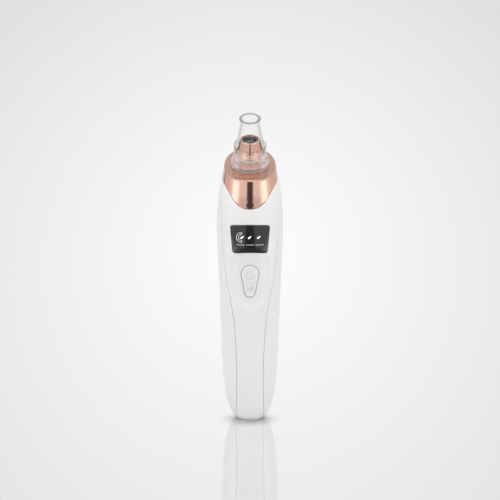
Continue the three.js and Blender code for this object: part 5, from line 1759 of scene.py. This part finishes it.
class PORE_OT_neck(bpy.types.Operator):
    """Make the stepped neck, its seal ring, the filter cup and the filter foam"""

    bl_idname = "pore.neck"
    bl_label = "Neck and filter"

    BORE = 1.3 * MM
    BARB = 2.1 * MM
    CLIP = 1.2 * MM
    CLIP_GROOVE = 5.2 * MM
    SEAL_LOW = 4.6 * MM
    SEAL_HIGH = 6.8 * MM
    SEAL_DEPTH = 1 * MM
    CUP_SIDES = 96
    CUP_HOLES = 6
    CUP_HOLE = 0.45 * MM
    CUP_HOLE_CIRCLE = 2.2 * MM
    FOAM_HEIGHT = 2.5 * MM
    FOAM_ROUND = 0.3 * MM
    FOAM_DIMPLE = 0.05 * MM
    FOAM_SIDES = 72

    def execute(self, context):
        scene = context.scene
        head, body, finishes = scene.pore_head, scene.pore_body, scene.pore_finishes
        matrix = head_matrix(body)
        seam = body.seam
        plating = polished_plating("neck_plating", finishes.rose_gold, 0.07)
        clip_top = -head.collar_plate
        clip_low = clip_top - 2 * seam - self.CLIP
        groove = head.neck_radius - self.SEAL_DEPTH
        neck = turned_mesh("stepped_neck", [
            (self.BORE, BARB_END, 0.1 * MM),
            (self.BARB, BARB_END, 0.3 * MM),
            (self.BARB, BARB_TOP, 0.1 * MM),
            (head.neck_shank, BARB_TOP, 0.3 * MM),
            (head.neck_shank, clip_low, 0),
            (self.CLIP_GROOVE, clip_low, 0),
            (self.CLIP_GROOVE, clip_top, 0),
            (head.neck_shank, clip_top, 0),
            (head.neck_shank, seam, 0.05 * MM),
            (head.neck_radius, seam, 0.3 * MM),
            (head.neck_radius, self.SEAL_LOW, 0.12 * MM),
            (groove, self.SEAL_LOW, 0),
            (groove, self.SEAL_HIGH, 0),
            (head.neck_radius, self.SEAL_HIGH, 0.12 * MM),
            (head.neck_radius, head.neck_body_top, 0.7 * MM),
            (head.neck_rim_foot, head.neck_rim_low, 0.7 * MM),
            (head.neck_rim, head.neck_top, 0.4 * MM),
            (head.cup_radius, head.neck_top, 0.3 * MM),
            (head.cup_radius, head.cup_floor, 0.2 * MM),
            (self.BORE, head.cup_floor, 0.1 * MM),
        ], matrix)
        place("stepped_neck", neck, [plating], "wand", ["nozzle_neck"])
        inner, outer = groove + seam, head.neck_radius + SEAL_PROUD
        low, high = self.SEAL_LOW + seam, self.SEAL_HIGH - seam
        ring = turned_mesh("seal_ring", [
            (inner, low, 0.1 * MM), (outer, low, 0.5 * MM), (outer, high, 0.5 * MM), (inner, high, 0.1 * MM),
        ], matrix)
        pale = soft_rubber("seal_silicone", finishes.seal_pink, 0.5)
        place("seal_ring", ring, [pale], "wand", ["neck_seal_ring"])
        self.make_cup(head, seam, matrix, finishes)
        self.make_foam(head, seam, matrix)
        return {"FINISHED"}

    def make_cup(self, head, seam, matrix, finishes):
        outer = head.cup_radius - seam
        inner = outer - head.filter_wall
        low = head.cup_floor + seam
        floor = low + head.filter_wall
        profile = rounded([
            (outer, low, 0.3 * MM), (outer, head.filter_top, 0.22 * MM),
            (inner, head.filter_top, 0.22 * MM), (inner, floor, 0.3 * MM),
        ])
        rings = [level_ring(radius, height, self.CUP_SIDES) for radius, height in profile]
        cup = lofted("filter_cup", rings, ((0, 0, low), (0, 0, floor)))
        holes = [
            rod_mesh(self.CUP_HOLE, (x, y, low - seam), (x, y, floor + seam), 24)
            for x, y in self.CUP_HOLE_CIRCLE * swung(around(self.CUP_HOLES))
        ]
        cup = combined(cup, holes, "DIFFERENCE")
        cup.transform(matrix)
        grey = polished_plating("cup_grey", finishes.cup_grey, 0.12)
        place("filter_cup", cup, [grey], "wand", ["filter_holder"])

    def make_foam(self, head, seam, matrix):
        low = head.cup_floor + 2 * seam + head.filter_wall
        high = low + self.FOAM_HEIGHT
        radius = head.cup_radius - 2 * seam - head.filter_wall
        # Share of the radius and height of each ring, from the middle of the underside to the middle of the top
        levels = [(0.35, low), (0.7, low), (0.95, low), (1.0, low + self.FOAM_ROUND)]
        levels += [(1.0, high - self.FOAM_ROUND), (0.95, high), (0.75, high), (0.5, high), (0.25, high)]
        rows = []
        for out, height in levels:
            places = out * radius * swung(around(self.FOAM_SIDES))
            pitted = pits(places, height)
            rows.append(np.column_stack([places, height - np.where(height > (low + high) / 2, pitted, -pitted)]))
        ends = ((0, 0, low + self.FOAM_DIMPLE), (0, 0, high - self.FOAM_DIMPLE))
        foam = lofted("filter_foam", rows, ends)
        foam.transform(matrix)
        white = slot_finish("white_foam", "foam_white")
        place("filter_foam", foam, [white], "wand", ["filter_sponge"], 60)


def pits(places, height):
    """Small uneven depths of a foam surface."""
    x, y = places[:, 0] / MM, places[:, 1] / MM
    return FOAM_PIT * (1 + np.sin(7.3 * x + 2.1 * height / MM) * np.cos(6.1 * y + 1.3 * x))


class PORE_OT_tip(bpy.types.Operator):
    """Make the clear push-on tip"""

    bl_idname = "pore.tip"
    bl_label = "Clear tip"

    # Walls of the flange, the skirt and the lip outside the bore, and heights above the collar's face
    FLANGE = 2.4 * MM
    FLANGE_TOP = 2.2 * MM
    SKIRT = 1.75 * MM
    SKIRT_TAPER = 1.15 * MM
    RIDGES = 6
    RIDGE_BEVEL = 0.3 * MM
    RIDGE_STEP = 0.35 * MM
    SHOULDER = 10.6 * MM
    LIP = 0.6 * MM
    LIP_INSIDE = 0.1 * MM
    LIP_TOP = 13.1 * MM
    CONE_FOOT = 8.4 * MM
    CONE_MOUTH = 5.3 * MM
    CONE_TOP = 29.5 * MM
    THROAT = 4.45 * MM
    BEAD = 6.2 * MM
    FROSTED = 0.35 * MM
    HAZY_FROM = 0.2 * MM

    def execute(self, context):
        scene = context.scene
        head, seam = scene.pore_head, scene.pore_body.seam
        bore = head.neck_radius + seam + SEAL_PROUD
        shoulder = self.SHOULDER
        corners = [
            (bore, seam, 0.2 * MM),
            (bore + self.FLANGE, seam, 0.35 * MM),
            (bore + self.FLANGE, self.FLANGE_TOP, 0.35 * MM),
            (bore + self.SKIRT, self.FLANGE_TOP, 0.25 * MM),
        ]
        for step in range(1, self.RIDGES):
            height = self.FLANGE_TOP + (shoulder - self.FLANGE_TOP) * step / self.RIDGES
            reach = bore + self.SKIRT - self.SKIRT_TAPER * step / self.RIDGES
            corners += [(reach, height - self.RIDGE_BEVEL, 0.1 * MM), (reach - self.RIDGE_STEP, height, 0.12 * MM)]
        corners += [
            (bore + self.LIP, shoulder, 0.3 * MM),
            (bore + self.LIP, self.LIP_TOP, 0.2 * MM),
            (bore + self.LIP_INSIDE, self.LIP_TOP, 0.2 * MM),
            (bore + self.LIP_INSIDE, shoulder + seam, 0.15 * MM),
            (self.CONE_FOOT, shoulder + seam, 0.3 * MM),
            (self.CONE_MOUTH, self.CONE_TOP, 0.3 * MM),
            (self.BEAD, self.CONE_TOP + 2 * seam, 0.09 * MM),
            (self.BEAD, head.tip_top - seam, 0.09 * MM),
            (self.BEAD - seam, head.tip_top, 0.2 * MM),
            (head.tip_mouth, head.tip_top, 0.3 * MM),
            (self.THROAT, self.CONE_TOP, 0.5 * MM),
            (self.CONE_FOOT - head.tip_wall, shoulder, 0.6 * MM),
            (bore, head.neck_body_top + 2 * seam, 0.5 * MM),
        ]

        def finish(radius, height):
            if height > head.tip_top - self.FROSTED:
                return 1
            return 2 if height < shoulder and radius > bore + self.HAZY_FROM else 0

        mesh = turned_mesh("clear_nozzle", corners, head_matrix(scene.pore_body), 160, 5, finish)
        tone = scene.pore_finishes.clear_tip
        clear = clear_plastic("clear_tip", tone)
        frosted = clear_plastic("frosted_rim", shaded(tone, 0.3), 0.3, 0.2)
        hazy = clear_plastic("hazy_skirt", scene.pore_finishes.skirt_haze, 0.12, 0.78, 1.1, 0.5)
        place("clear_nozzle", mesh, [clear, frosted, hazy], "tip", ["suction_tip"])
        return {"FINISHED"}


def smooth_route(places, steps=30):
    """Path that bends evenly through places, as the leads of the CAD model do."""
    places = np.array(places, float)
    ends = [2 * places[0] - places[1], *places, 2 * places[-1] - places[-2]]
    path = []
    for a, b, c, d in zip(ends, ends[1:], ends[2:], ends[3:]):
        before, span, after = (math.sqrt(np.linalg.norm(q - p)) for p, q in ((a, b), (b, c), (c, d)))
        leave = span * ((b - a) / before - (c - a) / (before + span) + (c - b) / span)
        arrive = span * ((c - b) / span - (d - b) / (span + after) + (d - c) / after)
        for t in np.linspace(0, 1, steps, endpoint=False):
            u = 1 - t
            path.append(u * u * ((1 + 2 * t) * b + t * leave) + t * t * ((1 + 2 * u) * c - u * arrive))
    return np.array([*path, places[-1]])


def swept_rows(path, stations, sides):
    """Rings round a path, one for each station of distance along it and radius."""
    along = distances(path)
    tangents = unit(np.gradient(path, along, axis=0))
    carried = [unit(np.cross(tangents[0], (1, 0.3, 0.1)))]
    for tangent in tangents[1:]:
        carried.append(unit(carried[-1] - tangent * (carried[-1] @ tangent)))
    rows = []
    for distance, radius in stations:
        spot, tangent, first = (
            np.array([np.interp(distance, along, values[:, k]) for k in range(3)])
            for values in (path, tangents, np.array(carried))
        )
        rows.append(spot + radius * swung(around(sides), first, np.cross(tangent, first)))
    return rows


class PORE_OT_hose_and_leads(bpy.types.Operator):
    """Make the suction hose, the foam sleeve of the motor and the leads"""

    bl_idname = "pore.hose_and_leads"
    bl_label = "Hose, sleeve and leads"

    LEAD = 0.5 * MM
    STRAND = 0.34 * MM
    STRAND_TIP = 0.1 * MM
    BARED = 1.1 * MM
    LEAD_STEP = 0.8 * MM
    HOSE_OUTSIDE = 3.4 * MM
    HOSE_INSIDE = 2.4 * MM
    HOSE_SLIM = 0.2 * MM
    HOSE_EDGE = 0.12 * MM
    GRIP_START = 4 * MM
    GRIP_END = 6 * MM
    SLEEVE_WALL = 1 * MM
    SLEEVE_EDGE = 0.25 * MM
    SLEEVE_DENT = 0.08 * MM
    SLEEVE_SIDES = 150

    def execute(self, context):
        copper = satin_metal("strand_copper", slot_tone("copper"), 0.35, (1, 1, 0.1))
        for name, places in LEAD_ROUTES.items():
            places = np.array(places) * MM
            self.make_lead(name, places, copper)
            if name.endswith("_red"):
                self.make_lead(name.replace("_red", "_black"), places * np.array([-1, 1, 1]), copper)
        self.make_hose(context.scene.pore_body)
        self.make_sleeve()
        return {"FINISHED"}

    def make_lead(self, node, places, copper):
        path = smooth_route(places)
        length = distances(path)[-1]
        bared, lead, strand = self.BARED, self.LEAD, self.STRAND
        ends = [
            (0, 0.6 * strand), (self.STRAND_TIP, strand), (bared, strand), (bared, 0.9 * lead), (1.1 * bared, lead),
        ]
        middle = np.linspace(1.1 * bared, length - 1.1 * bared, max(8, round(length / self.LEAD_STEP)))[1:-1]
        stations = [*ends, *[(d, lead) for d in middle], *[(length - d, r) for d, r in ends[::-1]]]
        rows = swept_rows(path, stations, 18)
        bare = len(ends) - 3
        last = len(rows) - 1
        kinds = [int(i < bare or i >= last - bare) for i in range(last)]
        mesh = lofted(f"wire_{node}", rows, (rows[0].mean(axis=0), rows[-1].mean(axis=0)), kinds)
        slot = "red_lead" if node.endswith(("red", "top")) else "black_lead"
        finishes = [slot_finish(slot, f"cover_{node}"), copper]
        place(f"wire_{node}", mesh, finishes, "wand", [node], 45)

    def make_hose(self, body):
        matrix = head_matrix(body)
        sleeve_low, sleeve_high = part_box("pump_sleeve")
        axis_y = (sleeve_low.y + sleeve_high.y) / 2
        top = np.array([0, axis_y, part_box("pump_cover")[1].z])
        foot = np.array([0, axis_y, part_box("suction_hose")[0].z])

        def on_neck(z):
            return np.array(matrix @ Vector((0, 0, z)))

        barb_end, barb_top = on_neck(BARB_END), on_neck(BARB_TOP - body.seam)
        bend = np.linalg.norm(barb_end - top) / 3
        first = top + np.array([0, 0, bend])
        second = on_neck(BARB_END - bend)
        path = [foot + (top - foot) * t for t in np.linspace(0, 1, 12, endpoint=False)]
        for t in np.linspace(0, 1, 40, endpoint=False):
            u = 1 - t
            path.append(u ** 3 * top + 3 * u * u * t * first + 3 * u * t * t * second + t ** 3 * barb_end)
        path += [barb_end + (barb_top - barb_end) * t for t in np.linspace(0, 1, 10)]
        path = np.array(path)
        length = distances(path)[-1]
        along = np.linspace(0, length, 60)
        foot_grip = 1 - ease(along, self.GRIP_START, self.GRIP_END)
        grip = np.maximum(foot_grip, ease(along, length - self.GRIP_END, length - self.GRIP_START))
        outer = self.HOSE_OUTSIDE - self.HOSE_SLIM * (1 - grip)
        outer[[0, -1]] -= self.HOSE_EDGE
        stations = [*zip(along, outer), *[(d, self.HOSE_INSIDE) for d in along[::-1]]]
        mesh = lofted("soft_hose", swept_rows(path, stations, 40))
        silicone = slot_finish("silicone", "hose_silicone")
        place("soft_hose", mesh, [silicone], "wand", ["suction_hose"], 50)

    def make_sleeve(self):
        low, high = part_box("pump_sleeve")
        middle_y = (low.y + high.y) / 2
        outside = (high.x - low.x) / 2
        inside = outside - self.SLEEVE_WALL
        edge = self.SLEEVE_EDGE
        profile = [(inside, low.z), (outside - edge, low.z), (outside, low.z + edge)]
        profile += [(outside, z) for z in np.linspace(low.z + 2 * edge, high.z - 2 * edge, 40)]
        profile += [(outside, high.z - edge), (outside - edge, high.z), (inside, high.z)]
        turns = around(self.SLEEVE_SIDES)
        level = np.ones(self.SLEEVE_SIDES)
        rows = []
        for radius, z in profile:
            dent = self.SLEEVE_DENT * (1 + np.sin(31 * turns + 1700 * z) * np.cos(47 * turns - 2300 * z))
            reach = radius - (dent if radius > inside else 0)
            rows.append(np.column_stack([reach * np.cos(turns), middle_y + reach * np.sin(turns), z * level]))
        foam = slot_finish("grey_foam", "foam_grey")
        place("foam_sleeve", lofted("foam_sleeve", rows), [foam], "wand", ["pump_sleeve"], 50)


class PORE_OT_inner_parts(bpy.types.Operator):
    """Give the carried-over inner parts their finishes"""

    bl_idname = "pore.inner_parts"
    bl_label = "Inner parts"

    def execute(self, context):
        made = {}
        for entry in frame["record"]["subparts"]:
            obj = frame["nodes"][entry["node"]]
            slot = entry["material_slot"]
            if obj.hide_render:
                continue
            if slot not in made:
                made[slot] = slot_finish(slot, f"inner_{slot}")
            obj.data.materials.clear()
            obj.data.materials.append(made[slot])
        return {"FINISHED"}


PROPERTY_GROUPS = {
    "pore_body": PoreBodySizes,
    "pore_controls": PoreControlSizes,
    "pore_head": PoreHeadSizes,
    "pore_finishes": PoreFinishes,
    "pore_stage": PoreStageSizes,
}
OPERATORS = (
    PORE_OT_stage,
    PORE_OT_shells,
    PORE_OT_collar,
    PORE_OT_display,
    PORE_OT_key,
    PORE_OT_neck,
    PORE_OT_tip,
    PORE_OT_hose_and_leads,
    PORE_OT_inner_parts,
)


class PORE_PT_wand(bpy.types.Panel):
    """Sizes, colours and building steps of the wand"""

    bl_idname = "PORE_PT_wand"
    bl_label = "Pore Vacuum"
    bl_space_type = "VIEW_3D"
    bl_region_type = "UI"
    bl_category = "Pore Vacuum"

    def draw(self, context):
        for operator in OPERATORS:
            self.layout.operator(operator.bl_idname)
        for name, group in PROPERTY_GROUPS.items():
            box = self.layout.box()
            box.label(text=group.bl_rna.description or name)
            for key in group.__annotations__:
                box.prop(getattr(context.scene, name), key)


def register():
    for group in PROPERTY_GROUPS.values():
        bpy.utils.register_class(group)
    for name, group in PROPERTY_GROUPS.items():
        setattr(bpy.types.Scene, name, PointerProperty(type=group))
    for operator in OPERATORS:
        bpy.utils.register_class(operator)
    bpy.utils.register_class(PORE_PT_wand)


def unregister():
    bpy.utils.unregister_class(PORE_PT_wand)
    for operator in reversed(OPERATORS):
        bpy.utils.unregister_class(operator)
    for name, group in PROPERTY_GROUPS.items():
        delattr(bpy.types.Scene, name)
        bpy.utils.unregister_class(group)


def main():
    """Builds the whole wand and its studio."""
    register()
    for operator in OPERATORS:
        group, name = operator.bl_idname.split(".")
        getattr(getattr(bpy.ops, group), name)()


if __name__ == "__main__":
    main()
